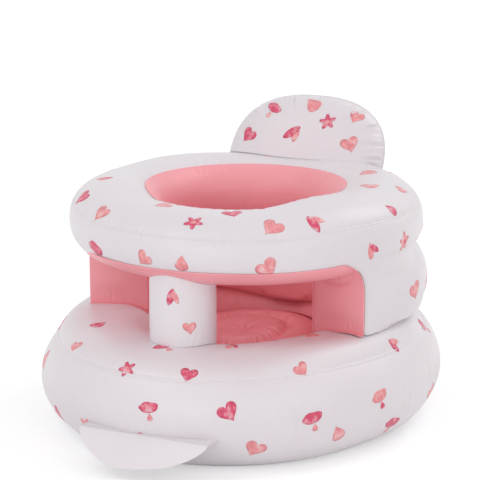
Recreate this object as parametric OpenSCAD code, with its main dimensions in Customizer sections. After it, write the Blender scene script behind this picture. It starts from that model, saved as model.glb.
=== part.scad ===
// Inflatable floor seat for a baby.
// An oval base ring carries a seat pad, a C-shaped rear wall and a round arm ring.
// Two leg arches open at the front, with a post between them and a backrest at the rear.
// Millimetres. The origin is on the floor under the centre of the base, +Z up, -Y to the front.

/* [Base ring] */
// Overall width of the base, left to right
base_w = 520; // [505:1:540]
// Overall depth of the base, front to back
base_d = 584; // [570:1:610]
// Height of the crown of the base ring
base_h = 142; // [132:1:150]
// Width of the base tube outside its crown line
base_out = 97; // [88:1:102]
// Width of the base tube inside its crown line
base_in = 60; // [54:1:64]
// How far the floor presses the round underside of the base flat
base_press = 7; // [4:1:10]
// Height of the upper weld seam on the outside of the base
shoulder_seam_h = 116; // [105:1:122]
// Height of the lower weld seam on the outside of the base
skirt_seam_h = 32; // [24:1:36]

/* [Seat pad] */
// Height of the crown of the seat pad above the floor
pad_h = 118; // [100:1:126]
// Depth of the welded channels in the seat pad
pad_channel = 9; // [4:1:14]
// Where the oval channel runs, as a fraction of the way from the centre to the rim
pad_channel_at = 0.56; // [0.4:0.02:0.7]

/* [Arm ring] */
// How far the arm ring and the rear wall sit behind the centre of the base
upper_y = 8; // [0:1:14]
// Height of the crown of the arm ring
ring_h = 318; // [308:1:326]
// How far the crown line of the arm ring lies inside the side of the base
ring_inset = 88.5; // [84:0.5:94]
// Half the width of the arm ring's tube
ring_half_w = 63; // [58:0.5:66]
// Half the height of the arm ring's tube
ring_half_h = 50; // [46:0.5:53]
// Height of the weld seam on the outside of the arm ring, below its crown
ring_seam_drop = 27; // [20:1:34]
// How far the inner seam of the arm ring lies inside its crown line
liner_seam_in = 37; // [30:1:44]

/* [Rear wall] */
// How far the rear wall's centre line lies outside the arm ring's crown line
wall_out = 8.5; // [5:0.5:12]
// Half the width of the rear wall's tube
wall_half_w = 62; // [58:0.5:65]
// How far the rear wall's round section is pressed flat on the base
wall_press = 8; // [5:1:11]
// How far the rear wall reaches up past the underside of the arm ring
wall_reach = 27; // [22:1:32]
// Thickness of the film in the liners, gussets, tie strip and sheets
film_t = 0.5; // [0.4:0.05:0.8]

/* [Leg arches] */
// Angle from the front to the rear edge of each leg arch
arch_angle = 68; // [64:1:72]
// How far the top edge of the leg arch lies below the centre of the arm ring
arch_drop = 23; // [20:1:26]
// Radius of the rounded upper corner of the leg arch
arch_corner_r = 48; // [36:1:52]
// Radius of the front post
post_r = 42.5; // [36:0.5:46]
// How far the front post's centre lies outside the arm ring's crown line
post_out = 8.5; // [3:0.5:12]

/* [Backrest] */
// Width of the backrest
back_w = 248; // [220:1:262]
// Length of the backrest from its foot in the arm ring to its top seam
back_len = 119; // [100:1:126]
// Thickness of the backrest
back_t = 62; // [50:1:68]
// Angle by which the backrest leans back
back_lean = 27; // [20:1:32]
// How far the foot of the backrest lies behind the arm ring's crown line
back_set = 10; // [4:1:14]
// How far the foot of the backrest lies below the arm ring's crown
back_sink = 18; // [12:1:22]

/* [Front tab] */
// Width of the front tab
tab_w = 198; // [160:1:206]
// How far the free part of the front tab reaches forward from its fold
tab_reach = 33; // [24:1:44]
// Height of the weld that holds the front tab
tab_h = 50; // [44:1:54]
// How far the free end of the front tab hangs below its fold
tab_droop = 40; // [20:1:40]
// Roundness of the front tab's outline: 2 is a half ellipse, more is squarer
tab_round = 1.9; // [1.6:0.1:4]
// Distance from the front of the base to the fold of the front tab
tab_fold_out = 2; // [1.5:0.5:6]

/* [Air valves] */
// Radius of the bore that takes the pump's nozzle
valve_bore_r = 4.3; // [3.6:0.1:4.6]
// Radius of the sliding stem
stem_r = 6.5; // [6:0.1:6.8]
// How far the stem can be pulled out
stem_travel = 12; // [8:0.5:13]
// Radius of the welded flange
flange_r = 15; // [13:0.5:17]
// Radius of the collar that guides the stem
collar_r = 8.6; // [8.4:0.1:10]
// Height of the collar above the flange
collar_h = 2.2; // [1.6:0.1:3]
// Length of the plug's shank in the bore
shank_len = 10.5; // [9:0.5:12]
// Radius of the plug's head
plug_head_r = 7; // [6:0.5:8]

/* [Hidden] */
$fn = 96;

// Colours of the films and of the moulded valves
film_white = "#f1eff3";
liner_pink = "#e38d97";
valve_clear = "#e9eef0";

// Gap between films that lie on each other, and between chambers that press on each other
gap = 0.2;
seat_gap = 0.3;
far = 700;

// Roundness of a tube's section: 2 is an ellipse, more is squarer
tube_power = 2.2;
section_n = 48;
// Radius of the bead that a weld seam leaves on the film
seam_r = 1.2;

// The base outline is two half rounds, moved apart towards the front and the rear
end_r = base_w / 2;
end_shift = base_d / 2 - end_r;

// Heights in the base: the sheet lies under the ring, and the wall stands on a flat on the crown
floor_top = film_t + gap;
crown_flat = 1;
base_top = base_h - crown_flat;
base_half_h = (base_h + base_press) / 2;
base_mid = base_h - base_half_h;

// Radii and heights of the upper chambers
ring_r = end_r - ring_inset;
wall_r = ring_r + wall_out;
post_reach = ring_r + post_out;
ring_z = ring_h - ring_half_h;
wall_low = base_h - wall_press;
wall_high = ring_h - 2 * ring_half_h + wall_reach;
wall_half_h = (wall_high - wall_low) / 2;
wall_z = (wall_high + wall_low) / 2;
film_lift = gap + film_t;
wall_lift = film_lift + gap;
arch_top = ring_z - arch_drop;

// Where the smooth cheek beside each arch fades into the groove between wall and ring
cheek_to = arch_angle + 58;
cheek_fade_at = arch_angle + 12;
cheek_fade_r = wall_r - 11.5;
cheek_low = wall_z + 8;
cheek_shoulder = wall_z + 14;
cheek_top = ring_z - 12;
cheek_proud = 1.5;
cheek_in_r = wall_r + 20;
// Turns of the seams of round cutters, away from the seams of the skins that they cut
fade_turn = 40;
pocket_turn = 33;
envelope_from = arch_angle - 18;

// Opening that an arch cuts forward of its rear edge, and how far the cut runs past the wall
arch_w = 120;
arch_over = 20;
// Reach of the wall's tie weld to each side of the arm ring's crown line
tie_in = 34;
tie_out = 38;
// Turn that keeps the tie strip and the rear liner clear of the arches' edges
edge_turn = 0.5;
// Where the rear liner's free edge lies, inside the arm ring's crown line
liner_edge_in = 36;

function side(v) = v < 0 ? -1 : 1;
function rounded(v, power) = side(v) * pow(abs(v), 2 / power);
// How high a rounded section stands above its middle, a distance away from its crown line
function tube_rise_as(away, half_w, half_h, power) =
    half_h * pow(1 - pow(min(1, abs(away) / half_w), power), 1 / power);
function tube_rise(away, half_w, half_h) = tube_rise_as(away, half_w, half_h, tube_power);
// How far a tube's skin stands out from its crown line, a height away from its middle
function tube_reach(up, half_w, half_h) = tube_rise(up, half_h, half_w);
// Points of an inflated tube's section round its crown line
function tube_points(in_w, out_w, half_h) = [
    for (i = [0 : section_n - 1])
        let (t = 360 * i / section_n)
        [(cos(t) < 0 ? in_w : out_w) * rounded(cos(t), tube_power), half_h * rounded(sin(t), tube_power)]
];
// Point of the base outline moved in by inset, at a turn t from +X
function oval_point(t, inset) = [
    (end_r - inset) * cos(t),
    (end_r - inset) * sin(t) + end_shift * (abs(sin(t)) < 0.001 ? 0 : side(sin(t)))
];
// Triangles of a loft through rings of n points each, with flat ends
function loft_faces(rings, n) = concat(
    [
        for (k = [0 : rings - 2], i = [0 : n - 1])
            let (j = (i + 1) % n)
            [k * n + i, (k + 1) * n + i, (k + 1) * n + j]
    ],
    [
        for (k = [0 : rings - 2], i = [0 : n - 1])
            let (j = (i + 1) % n)
            [k * n + i, (k + 1) * n + j, k * n + j]
    ],
    [[for (i = [0 : n - 1]) i]],
    [[for (i = [n - 1 : -1 : 0]) (rings - 1) * n + i]]
);

module tube_2d(in_w, out_w, half_h, grow = 0) {
    polygon(tube_points(in_w + grow, out_w + grow, half_h + grow));
}

// Section of the base tube, with its crown line on x = 0
module base_2d(grow = 0) {
    intersection() {
        translate([0, base_mid]) tube_2d(base_in, base_out, base_half_h, grow);
        translate([-base_in - 1, floor_top]) square([base_in + base_out + 2, base_top + grow - floor_top]);
    }
}

module base_seam_2d(z) {
    translate([tube_reach(z - base_mid, base_out, base_half_h), z]) circle(r = seam_r, $fn = 24);
}

// Carries a section round the base: two half rounds joined by short straight sides
module round_base() {
    for (m = [0, 1]) {
        mirror([0, m, 0]) translate([0, -end_shift, 0])
            rotate_extrude(angle = 180, start = 180) translate([end_r - base_out, 0]) children();
        mirror([m, 0, 0]) translate([0, end_shift, 0]) rotate([90, 0, 0])
            linear_extrude(2 * end_shift) translate([end_r - base_out, 0]) children();
    }
}

// Carries a section round the upper chambers' axis, from one angle to another measured from the front
module round_upper(from, to) {
    translate([0, upper_y, 0]) rotate_extrude(angle = to - from, start = from - 90) children();
}

// Carries a section round behind the arches
module round_behind_arches() {
    round_upper(arch_angle + edge_turn, 360 - arch_angle - edge_turn) children();
}

module ring_2d(grow = 0) {
    translate([ring_r, ring_z]) tube_2d(ring_half_w, ring_half_w, ring_half_h, grow);
}

module lobe_2d(grow = 0) {
    translate([wall_r, wall_z]) tube_2d(wall_half_w, wall_half_w, wall_half_h, grow);
}

// Everything above the flat on the base's crown
module above_base_2d() {
    translate([0, base_top + gap]) square([far, far]);
}

// Section of the rear wall's tube, flat where it stands on the base
module wall_2d() {
    intersection() {
        lobe_2d();
        above_base_2d();
    }
}

// Section of the cheek that fills the outer groove between wall and ring beside an arch
module cheek_2d() {
    polygon([
        [cheek_in_r, cheek_low],
        [wall_r + wall_half_w - cheek_proud, cheek_shoulder],
        [ring_r + ring_half_w + 1, cheek_top],
        [cheek_in_r, cheek_top]
    ]);
}

// Cheek on the right-hand side, faded out by an upright cylinder
module cheek() {
    fade_shift = wall_r + wall_half_w - cheek_fade_r + cheek_proud;
    intersection() {
        round_upper(envelope_from, cheek_to) cheek_2d();
        translate([0, upper_y, 0]) rotate([0, 0, cheek_fade_at - 90])
            translate([fade_shift, 0, 0]) rotate([0, 0, fade_turn]) cylinder(r = cheek_fade_r, h = far);
    }
}

// The wall before its arches are cut: tube and cheeks, hollowed under the arm ring
module wall_body(from, to) {
    difference() {
        union() {
            round_upper(from, to) wall_2d();
            cheek();
            mirror([1, 0, 0]) cheek();
        }
        round_upper(0, 360) ring_2d(wall_lift);
    }
}

// Opening of a leg arch, seen along its rear edge: x forward from that edge, y up
module arch_2d(grow = 0) {
    r = arch_corner_r + grow;
    top = arch_top + grow;
    difference() {
        translate([-grow, 0]) square([arch_w, top]);
        difference() {
            translate([-grow - 1, top - r]) square([r + 1, r + 1]);
            translate([r - grow, top - r]) circle(r = r);
        }
    }
}

// Carries an arch section outward through the wall at the right-hand arch's rear edge
module through_arch() {
    translate([0, upper_y, 0]) rotate([0, 0, arch_angle - 90])
        rotate([90, 0, 90]) linear_extrude(wall_r + wall_half_w + arch_over) mirror([1, 0]) children();
}

module base_ring() {
    color(film_white) difference() {
        round_base() {
            union() {
                base_2d();
                base_seam_2d(shoulder_seam_h);
                base_seam_2d(skirt_seam_h);
            }
        }
        at_base_valve() valve_pocket();
    }
}

// The sheet that closes the underside and lies on the floor
module base_bottom_sheet() {
    inset = base_out - tube_reach(floor_top - base_mid, base_out, base_half_h);
    color(film_white) linear_extrude(film_t)
        polygon([for (i = [0 : 95]) oval_point(360 * (i + 0.5) / 96, inset)]);
}

// Seat pad: crowned, with a rounded side, an oval channel and a tuft in the middle
pad_power = 5;
pad_n = 44;
pad_inset = base_out + base_in + 2 * seat_gap;
pad_mid = base_mid;
function pad_dip(s) = pad_channel * (exp(-pow((s - pad_channel_at) / 0.06, 2)) + exp(-pow(s / 0.1, 2)));
function pad_side(s) = pow(1 - pow(s, pad_power), 1 / pad_power);
function pad_ring(s, z) = [
    for (i = [0 : pad_n - 1])
        let (p = oval_point(360 * i / pad_n, pad_inset))
        [s * p[0], s * p[1], z]
];
pad_levels = concat(
    [[0.86, floor_top], [0.93, floor_top + 4], [0.98, floor_top + 14], [1, pad_mid]],
    [for (s = [0.996, 0.985, 0.96]) [s, pad_mid + (pad_h - pad_mid) * pad_side(s)]],
    [for (s = [0.92 : -0.05 : 0.02]) [s, pad_mid + (pad_h - pad_mid) * pad_side(s) - pad_dip(s)]]
);

module seat_pad() {
    color(liner_pink) polyhedron(
        points = [for (level = pad_levels) each pad_ring(level[0], level[1])],
        faces = loft_faces(len(pad_levels), pad_n)
    );
}

module rear_wall() {
    color(film_white) difference() {
        wall_body(envelope_from, 360 - envelope_from);
        through_arch() arch_2d(film_lift);
        mirror([1, 0, 0]) through_arch() arch_2d(film_lift);
        at_wall_valve() valve_pocket();
    }
}

module top_ring() {
    seam_z = ring_h - ring_seam_drop;
    color(film_white) round_upper(0, 360) {
        union() {
            ring_2d();
            translate([ring_r + tube_reach(seam_z - ring_z, ring_half_w, ring_half_h), seam_z])
                circle(r = seam_r, $fn = 24);
        }
    }
}

// Skin on the underside of the arm ring, where the wall is welded to it
module wall_tie_strip() {
    color(film_white) round_behind_arches() intersection() {
        difference() {
            ring_2d(film_lift);
            ring_2d(gap);
        }
        translate([ring_r - tie_in, 0]) square([tie_in + tie_out, ring_z]);
    }
}

// Keeps what lies inside the line between the ring's inner seam and its lower outer seam
module inside_seams_2d() {
    a = [ring_r - liner_seam_in, ring_z + tube_rise(liner_seam_in, ring_half_w, ring_half_h)];
    b = [ring_r + tube_reach(arch_drop, ring_half_w, ring_half_h), arch_top];
    polygon([[0, a[1]], a, b, [b[0], 0], [0, 0]]);
}

// Pink film on the inside of the arm ring and the rear wall, behind the arches
module rear_liner() {
    color(liner_pink) round_behind_arches() intersection() {
        difference() {
            union() {
                ring_2d(film_lift);
                lobe_2d(film_lift);
            }
            ring_2d(gap);
            lobe_2d(gap);
        }
        intersection() {
            inside_seams_2d();
            above_base_2d();
            square([ring_r - liner_edge_in, far]);
        }
    }
}

// Pink film on the inside and the underside of the arm ring, over the arches
module front_liner() {
    color(liner_pink) round_upper(-arch_angle, arch_angle) intersection() {
        difference() {
            ring_2d(film_lift);
            ring_2d(gap);
        }
        inside_seams_2d();
    }
}

// Pink film over the end of the rear wall at the right-hand arch
module jamb_gusset() {
    intersection() {
        through_arch() difference() {
            arch_2d(film_t);
            arch_2d();
        }
        difference() {
            union() {
                round_upper(envelope_from, cheek_fade_at) wall_2d();
                cheek();
            }
            round_upper(0, 360) ring_2d(wall_lift);
        }
    }
}

module right_jamb_gusset() {
    color(liner_pink) jamb_gusset();
}

module left_jamb_gusset() {
    color(liner_pink) mirror([1, 0, 0]) jamb_gusset();
}

// How far the post's foot reaches down the inner shoulder of the base
post_overlap = 30;

// Post between the arches, hollowed where it presses on the base and under the arm ring
module front_post() {
    foot = base_h - post_overlap;
    color(film_white) difference() {
        translate([0, upper_y - post_reach, foot]) cylinder(r = post_r, h = ring_z - foot);
        translate([0, -end_shift, 0]) rotate_extrude() translate([end_r - base_out, 0]) base_2d(gap);
        round_upper(0, 360) ring_2d(wall_lift);
        translate([0, upper_y, ring_z - ring_half_h]) cylinder(r = ring_r - post_r, h = far);
    }
}

// Backrest: a pillow with a rounded outline whose foot follows the arm ring's crown
back_n = 22;
// Roundness of the backrest's outline, of how its thickness falls off to the sides, and of its section
back_power = 2.75;
back_thin_power = 2.3;
back_section_power = 2.4;
back_skirt = 30;
back_foot_y = upper_y + ring_r + back_set;
back_foot_z = ring_h - back_sink;
back_gap = seat_gap + 0.3;
function ring_top(x, y) =
    let (away = norm([x, y - upper_y]) - ring_r)
    abs(away) < ring_half_w ? ring_z + tube_rise(away, ring_half_w, ring_half_h) : ring_z;
// Share of the full height or thickness that is left at a place across the width
function back_share(x, power) = pow(1 - pow(abs(x) / (back_w / 2), power), 1 / power);
// Section of the pillow: across its thickness, and up along its lean
function back_section(half_t, len) = concat(
    [
        for (i = [0 : back_n])
            let (t = 180 * i / back_n)
            [half_t * rounded(cos(t), back_section_power), len * rounded(sin(t), back_section_power)]
    ],
    [for (i = [1 : 3]) [-half_t, -back_skirt * i / 3]],
    [for (i = [1 : 9]) [-half_t + 2 * half_t * i / 10, -back_skirt]],
    [for (i = [3 : -1 : 1]) [half_t, -back_skirt * i / 3]]
);
function back_place(x, p) =
    let (y = back_foot_y + p[0] * cos(back_lean) + p[1] * sin(back_lean))
    let (z = back_foot_z - p[0] * sin(back_lean) + p[1] * cos(back_lean))
    [x, y, max(z, ring_top(x, y) + back_gap)];
back_stations = [for (a = [-86 : 8.6 : 86.1]) back_w / 2 * sin(a)];
function back_ring(x) =
    let (half_t = back_t / 2 * back_share(x, back_thin_power))
    [for (p = back_section(half_t, back_len * back_share(x, back_power))) back_place(x, p)];
back_rings = [for (x = back_stations) back_ring(x)];

module backrest() {
    color(film_white) difference() {
        polyhedron(
            points = [for (ring = back_rings) each ring],
            faces = loft_faces(len(back_rings), len(back_rings[0]))
        );
        at_back_valve() valve_pocket();
    }
}

// Outline of the base at a height, near its front
module base_front_2d(z, clear) {
    reach = tube_reach(z - base_mid, base_out, base_half_h);
    translate([0, -end_shift]) circle(r = end_r - base_out + reach + clear);
}

tab_fold_y = -base_d / 2 - tab_fold_out;
tab_hem = 40;
// Gap across the fold. The hinge axis lies in it, 0.35 mm in front of the hem, in the middle of the film.
fold_gap = 0.5;
// How fast the droop grows along the tab: 1 is straight, 2 is a parabola
droop_power = 1.15;
// The strip that the outline is cut from is a little longer than the tab
strip_over = 1.05;

// Welded hem that carries the front tab, up to the straight fold
module tab_root() {
    color(film_white) translate([0, 0, tab_h]) linear_extrude(film_t) difference() {
        translate([-tab_w / 2, tab_fold_y]) square([tab_w, tab_hem]);
        base_front_2d(tab_h + film_t, gap);
    }
}

// Free part of the front tab: it hangs from the fold and has a rounded outline
module front_tab() {
    steps = 10;
    turns = 48;
    start = tab_fold_y - fold_gap;
    top = [
        for (i = [0 : steps])
            let (t = strip_over * i / steps)
            [start - tab_reach * t, tab_h + film_t - tab_droop * pow(t, droop_power)]
    ];
    color(film_white) intersection() {
        rotate([90, 0, 90]) translate([0, 0, -tab_w / 2]) linear_extrude(tab_w)
            polygon(concat(top, [for (i = [steps : -1 : 0]) top[i] - [0, film_t]]));
        translate([0, start, 0]) linear_extrude(far) polygon(concat(
            [[tab_w / 2, 1], [-tab_w / 2, 1]],
            [for (i = [0 : turns]) let (t = 180 + 180 * i / turns)
                [tab_w / 2 * rounded(cos(t), tab_round), tab_reach * rounded(sin(t), tab_round)]]
        ));
    }
}

// Air valves. Each is drawn on its own axis, with +Z out of the chamber and z = 0 on its seat.
valve_sink = 2.6;
flange_t = film_t + 0.3;
flange_gap = 0.5;
flange_room = 12;
collar_top = gap + film_t + collar_h;
lip_t = 1.5;
lip_r = collar_r - 0.3;
keeper_t = 1;
keeper_r = stem_r + 1.2;
stem_in = -stem_travel - keeper_t;
stem_len = collar_top + gap - stem_in;
pocket_r = stem_r + 1.8;
flap_r = stem_r - 0.8;
flap_t = 0.6;
flap_gap = 0.3;
pocket_depth = 2 * flap_r + flap_t + 2 - stem_in;
plug_head_t = 2;
shank_play = 0.1;
tongue_w = 6;
tongue_len = 5;
tongue_t = 1.4;
strap_w = 3;
strap_t = 1.2;

module at_base_valve() {
    translate([0, base_d / 2 - valve_sink, base_mid]) rotate([-90, 0, 0]) children();
}

module at_wall_valve() {
    translate([0, upper_y + wall_r + wall_half_w - valve_sink, wall_z]) rotate([-90, 0, 0]) children();
}

module at_back_valve() {
    up = back_len * 0.5;
    out = tube_rise_as(up, back_len, back_t / 2, back_section_power) - valve_sink;
    translate([
        0,
        back_foot_y + out * cos(back_lean) + up * sin(back_lean),
        back_foot_z - out * sin(back_lean) + up * cos(back_lean)
    ]) rotate([-90 - back_lean, 0, 0]) children();
}

// Flat seat for the flange, and the pocket behind it that the stem is pushed into
module valve_pocket() {
    rotate([0, 0, pocket_turn]) {
        cylinder(r = flange_r + flange_gap, h = flange_room);
        translate([0, 0, -pocket_depth]) cylinder(r = pocket_r, h = pocket_depth + 1);
    }
}

// Welded disc with the collar that guides the stem
module valve_flange() {
    color(valve_clear) translate([0, 0, gap]) difference() {
        union() {
            cylinder(r = flange_r, h = flange_t);
            cylinder(r = collar_r, h = collar_top - gap);
        }
        translate([0, 0, -1]) cylinder(r = stem_r + gap, h = collar_top + 2);
    }
}

// Tube with a lip outside and a keeper ring inside, so that it can't be pulled right out
module valve_stem() {
    color(valve_clear) translate([0, 0, stem_in]) difference() {
        union() {
            cylinder(r = stem_r, h = stem_len + lip_t / 2);
            cylinder(r = keeper_r, h = keeper_t);
            translate([0, 0, stem_len]) cylinder(r = lip_r, h = lip_t);
        }
        translate([0, 0, -1]) cylinder(r = valve_bore_r, h = stem_len + lip_t + 2);
    }
}

// Plug with its head, its pull tongue and the loop of its tether
module valve_plug() {
    seat = stem_in + stem_len + lip_t + gap;
    strap_out = lip_r + gap + strap_t;
    color(valve_clear) translate([0, 0, seat]) union() {
        translate([0, 0, -gap - shank_len])
            cylinder(r = valve_bore_r - shank_play, h = gap + shank_len + plug_head_t / 2);
        cylinder(r = plug_head_r, h = plug_head_t);
        translate([-tongue_w / 2, 0, 0]) cube([tongue_w, plug_head_r + tongue_len, tongue_t]);
        translate([0, plug_head_r + tongue_len, 0]) cylinder(r = tongue_w / 2, h = tongue_t);
        translate([-strap_w / 2, -strap_out, 0]) cube([strap_w, strap_out, strap_t]);
        translate([-strap_w / 2, -strap_out, -lip_t - gap]) cube([strap_w, strap_t, lip_t + gap + strap_t]);
    }
}

// Check flap under the stem's inner end, hinged at one edge
module valve_flap() {
    color(valve_clear) translate([0, 0, stem_in - flap_gap - flap_t]) cylinder(r = flap_r, h = flap_t);
}

module base_valve_flange() {
    at_base_valve() valve_flange();
}

module base_valve_stem() {
    at_base_valve() valve_stem();
}

module base_valve_plug() {
    at_base_valve() valve_plug();
}

module base_valve_flap() {
    at_base_valve() valve_flap();
}

module wall_valve_flange() {
    at_wall_valve() valve_flange();
}

module wall_valve_stem() {
    at_wall_valve() valve_stem();
}

module wall_valve_plug() {
    at_wall_valve() valve_plug();
}

module wall_valve_flap() {
    at_wall_valve() valve_flap();
}

module back_valve_flange() {
    at_back_valve() valve_flange();
}

module back_valve_stem() {
    at_back_valve() valve_stem();
}

module back_valve_plug() {
    at_back_valve() valve_plug();
}

module back_valve_flap() {
    at_back_valve() valve_flap();
}

base_ring();
base_bottom_sheet();
seat_pad();
rear_wall();
top_ring();
wall_tie_strip();
rear_liner();
front_liner();
left_jamb_gusset();
right_jamb_gusset();
front_post();
backrest();
tab_root();
front_tab();
base_valve_flange();
base_valve_stem();
base_valve_plug();
base_valve_flap();
wall_valve_flange();
wall_valve_stem();
wall_valve_plug();
wall_valve_flap();
back_valve_flange();
back_valve_stem();
back_valve_plug();
back_valve_flap();
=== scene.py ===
"""Inflatable floor seat for a baby: film chambers, liners, print and valves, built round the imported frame."""

import math

import bpy
import numpy as np
from mathutils import Matrix, Vector


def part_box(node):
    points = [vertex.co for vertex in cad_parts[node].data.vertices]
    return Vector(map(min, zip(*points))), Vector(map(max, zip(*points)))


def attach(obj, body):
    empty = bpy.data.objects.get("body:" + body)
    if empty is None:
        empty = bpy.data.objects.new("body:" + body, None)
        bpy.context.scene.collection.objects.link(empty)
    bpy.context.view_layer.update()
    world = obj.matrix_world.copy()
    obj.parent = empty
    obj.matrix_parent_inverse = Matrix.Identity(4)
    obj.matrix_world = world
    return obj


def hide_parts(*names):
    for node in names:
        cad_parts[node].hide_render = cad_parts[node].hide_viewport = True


bl_info = {
    "name": "Inflatable baby floor seat",
    "version": (1, 0, 0),
    "blender": (4, 5, 0),
    "location": "View3D > Sidebar > Floor Seat",
    "description": "Builds the film chambers, liners, print and valves of an inflatable floor seat",
    "category": "Add Mesh",
}

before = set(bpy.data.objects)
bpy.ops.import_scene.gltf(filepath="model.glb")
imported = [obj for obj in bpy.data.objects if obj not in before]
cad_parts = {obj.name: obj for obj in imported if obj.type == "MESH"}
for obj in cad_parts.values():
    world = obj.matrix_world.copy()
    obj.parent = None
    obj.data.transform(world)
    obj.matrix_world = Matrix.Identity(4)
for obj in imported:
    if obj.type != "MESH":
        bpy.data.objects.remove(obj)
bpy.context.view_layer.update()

SEAT = "seat"
# Roundness of an inflated tube's section: 2 is an ellipse, more is squarer
TUBE_POWER = 2.2


# ---------------------------------------------------------------- sizes and colours


def length(name, metres, description):
    """A size that the user may change, in metres."""
    return bpy.props.FloatProperty(
        name=name, description=description, default=metres, unit="LENGTH", precision=4
    )


def colour(name, rgb, description):
    """A colour that the user may change."""
    return bpy.props.FloatVectorProperty(
        name=name, description=description, default=rgb, subtype="COLOR", min=0, max=1
    )


BASE_LOW, BASE_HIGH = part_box("base_ring")
RING_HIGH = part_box("top_ring")[1]


class FloorSeatSizes(bpy.types.PropertyGroup):
    """Sizes of the inflated chambers."""

    base_w: length("Base width", BASE_HIGH.x - BASE_LOW.x, "Width of the base ring, left to right")
    base_d: length("Base depth", BASE_HIGH.y - BASE_LOW.y, "Depth of the base ring, front to back")
    base_h: length("Base height", 0.142, "Height of the crown of the base ring")
    base_end_r: length("Base end radius", 0.245, "Radius of the base's outline at the front and the rear")
    base_out: length("Base tube outside", 0.097, "Width of the base tube outside its crown line")
    base_in: length("Base tube inside", 0.060, "Width of the base tube inside its crown line")
    base_press: length("Base press", 0.007, "How far the floor presses the base flat")
    pad_h: length("Pad height", 0.118, "Height of the crown of the seat pad")
    upper_y: length("Upper set-back", 0.008, "How far the arm ring sits behind the centre of the base")
    ring_h: length("Arm ring height", RING_HIGH.z, "Height of the crown of the arm ring")
    ring_r: length("Arm ring radius", 0.1715, "Radius of the crown line of the arm ring")
    ring_half_w: length("Arm ring half width", 0.063, "Half the width of the arm ring's tube")
    ring_half_h: length("Arm ring half height", 0.050, "Half the height of the arm ring's tube")
    ring_dip: length("Front bar dip", 0.010, "How much lower the arm ring's crown is over the leg arches")
    wall_r: length("Rear wall radius", 0.180, "Radius of the centre line of the rear wall")
    wall_half_w: length("Rear wall half width", 0.062, "Half the width of the rear wall's tube")
    wall_z: length("Rear wall middle", 0.1895, "Height of the middle of the rear wall's tube")
    wall_half_h: length("Rear wall half height", 0.0555, "Half the height of the rear wall's tube")
    arch_top: length("Arch top", 0.245, "Height of the top edge of the leg arches")
    arch_corner_r: length("Arch corner", 0.048, "Radius of the rounded upper corner of the leg arches")
    post_r: length("Post radius", 0.0425, "Radius of the front post")
    post_reach: length("Post reach", 0.180, "Distance of the post from the arm ring's centre")
    back_w: length("Backrest width", 0.234, "Width of the backrest")
    back_len: length("Backrest length", 0.105, "Length of the backrest above its foot")
    back_t: length("Backrest thickness", 0.062, "Thickness of the backrest")
    tab_w: length("Tab width", 0.198, "Width of the front tab")
    tab_reach: length("Tab reach", 0.033, "How far the front tab's free part reaches forward of its fold")
    tab_droop: length("Tab droop", 0.0355, "How far the end of the front tab hangs below its fold")
    print_size: length("Print size", 0.024, "Size of a usual printed motif")


class FloorSeatColours(bpy.types.PropertyGroup):
    """Colours of the films, the inks and the floor."""

    film: colour("White film", (0.79, 0.757, 0.79), "White vinyl film of the chambers")
    liner: colour("Pink film", (0.985, 0.4, 0.445), "Salmon pink vinyl film of the liners")
    coral: colour("Coral ink", (0.86, 0.30, 0.32), "Lighter ink of the print")
    rose: colour("Rose ink", (0.72, 0.07, 0.16), "Deeper ink of the print")
    valve: colour("Valve", (0.82, 0.85, 0.87), "Soft clear vinyl of the valves")
    floor: colour("Floor", (0.92, 0.92, 0.92), "Pale floor")


class Plan:
    """Sizes in millimetres, and the lengths that follow from them."""

    def __init__(self, sizes):
        for name in FloorSeatSizes.__annotations__:
            setattr(self, name, getattr(sizes, name) * 1000)
        self.base_half_h = (self.base_h + self.base_press) / 2
        self.base_mid = self.base_h - self.base_half_h
        self.ring_z = self.ring_h - self.ring_half_h
        self.end_shift = self.base_d / 2 - self.base_end_r
        half = self.base_w / 2
        self.side_r = (half**2 + self.end_shift**2 - self.base_end_r**2) / (2 * (half - self.base_end_r))
        self.side_shift = self.side_r - half


def plan():
    """The scene's sizes, in millimetres."""
    return Plan(bpy.context.scene.floor_seat_sizes)


def paints():
    """The scene's colours."""
    return bpy.context.scene.floor_seat_colours


# ---------------------------------------------------------------- shapes as formulas

# Turn of the leg arches' rear edges from the front, about the upper chambers' middle
ARCH_ANGLE = math.radians(68)
# Height of the chambers' flat undersides over the floor
FLOOR_TOP = 0.7
# Gap between a chamber's film and the skin that it stands on
FILM_GAP = 0.3
# Heights of the base's two outer welds
SHOULDER_SEAM_Z, SKIRT_SEAM_Z = 118, 32
# The arm ring's outer weld, below its crown, and the weld of its liners, inside its crown line
RING_SEAM_DROP, LINER_SEAM_IN = 27, 37
# How far the backrest leans back
BACK_LEAN = math.radians(27)
# Height and width of a weld's bead, and depth and width of the pinch round it
BEAD, PINCH = (1.2, 0.9), (1.3, 3.0)
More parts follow.
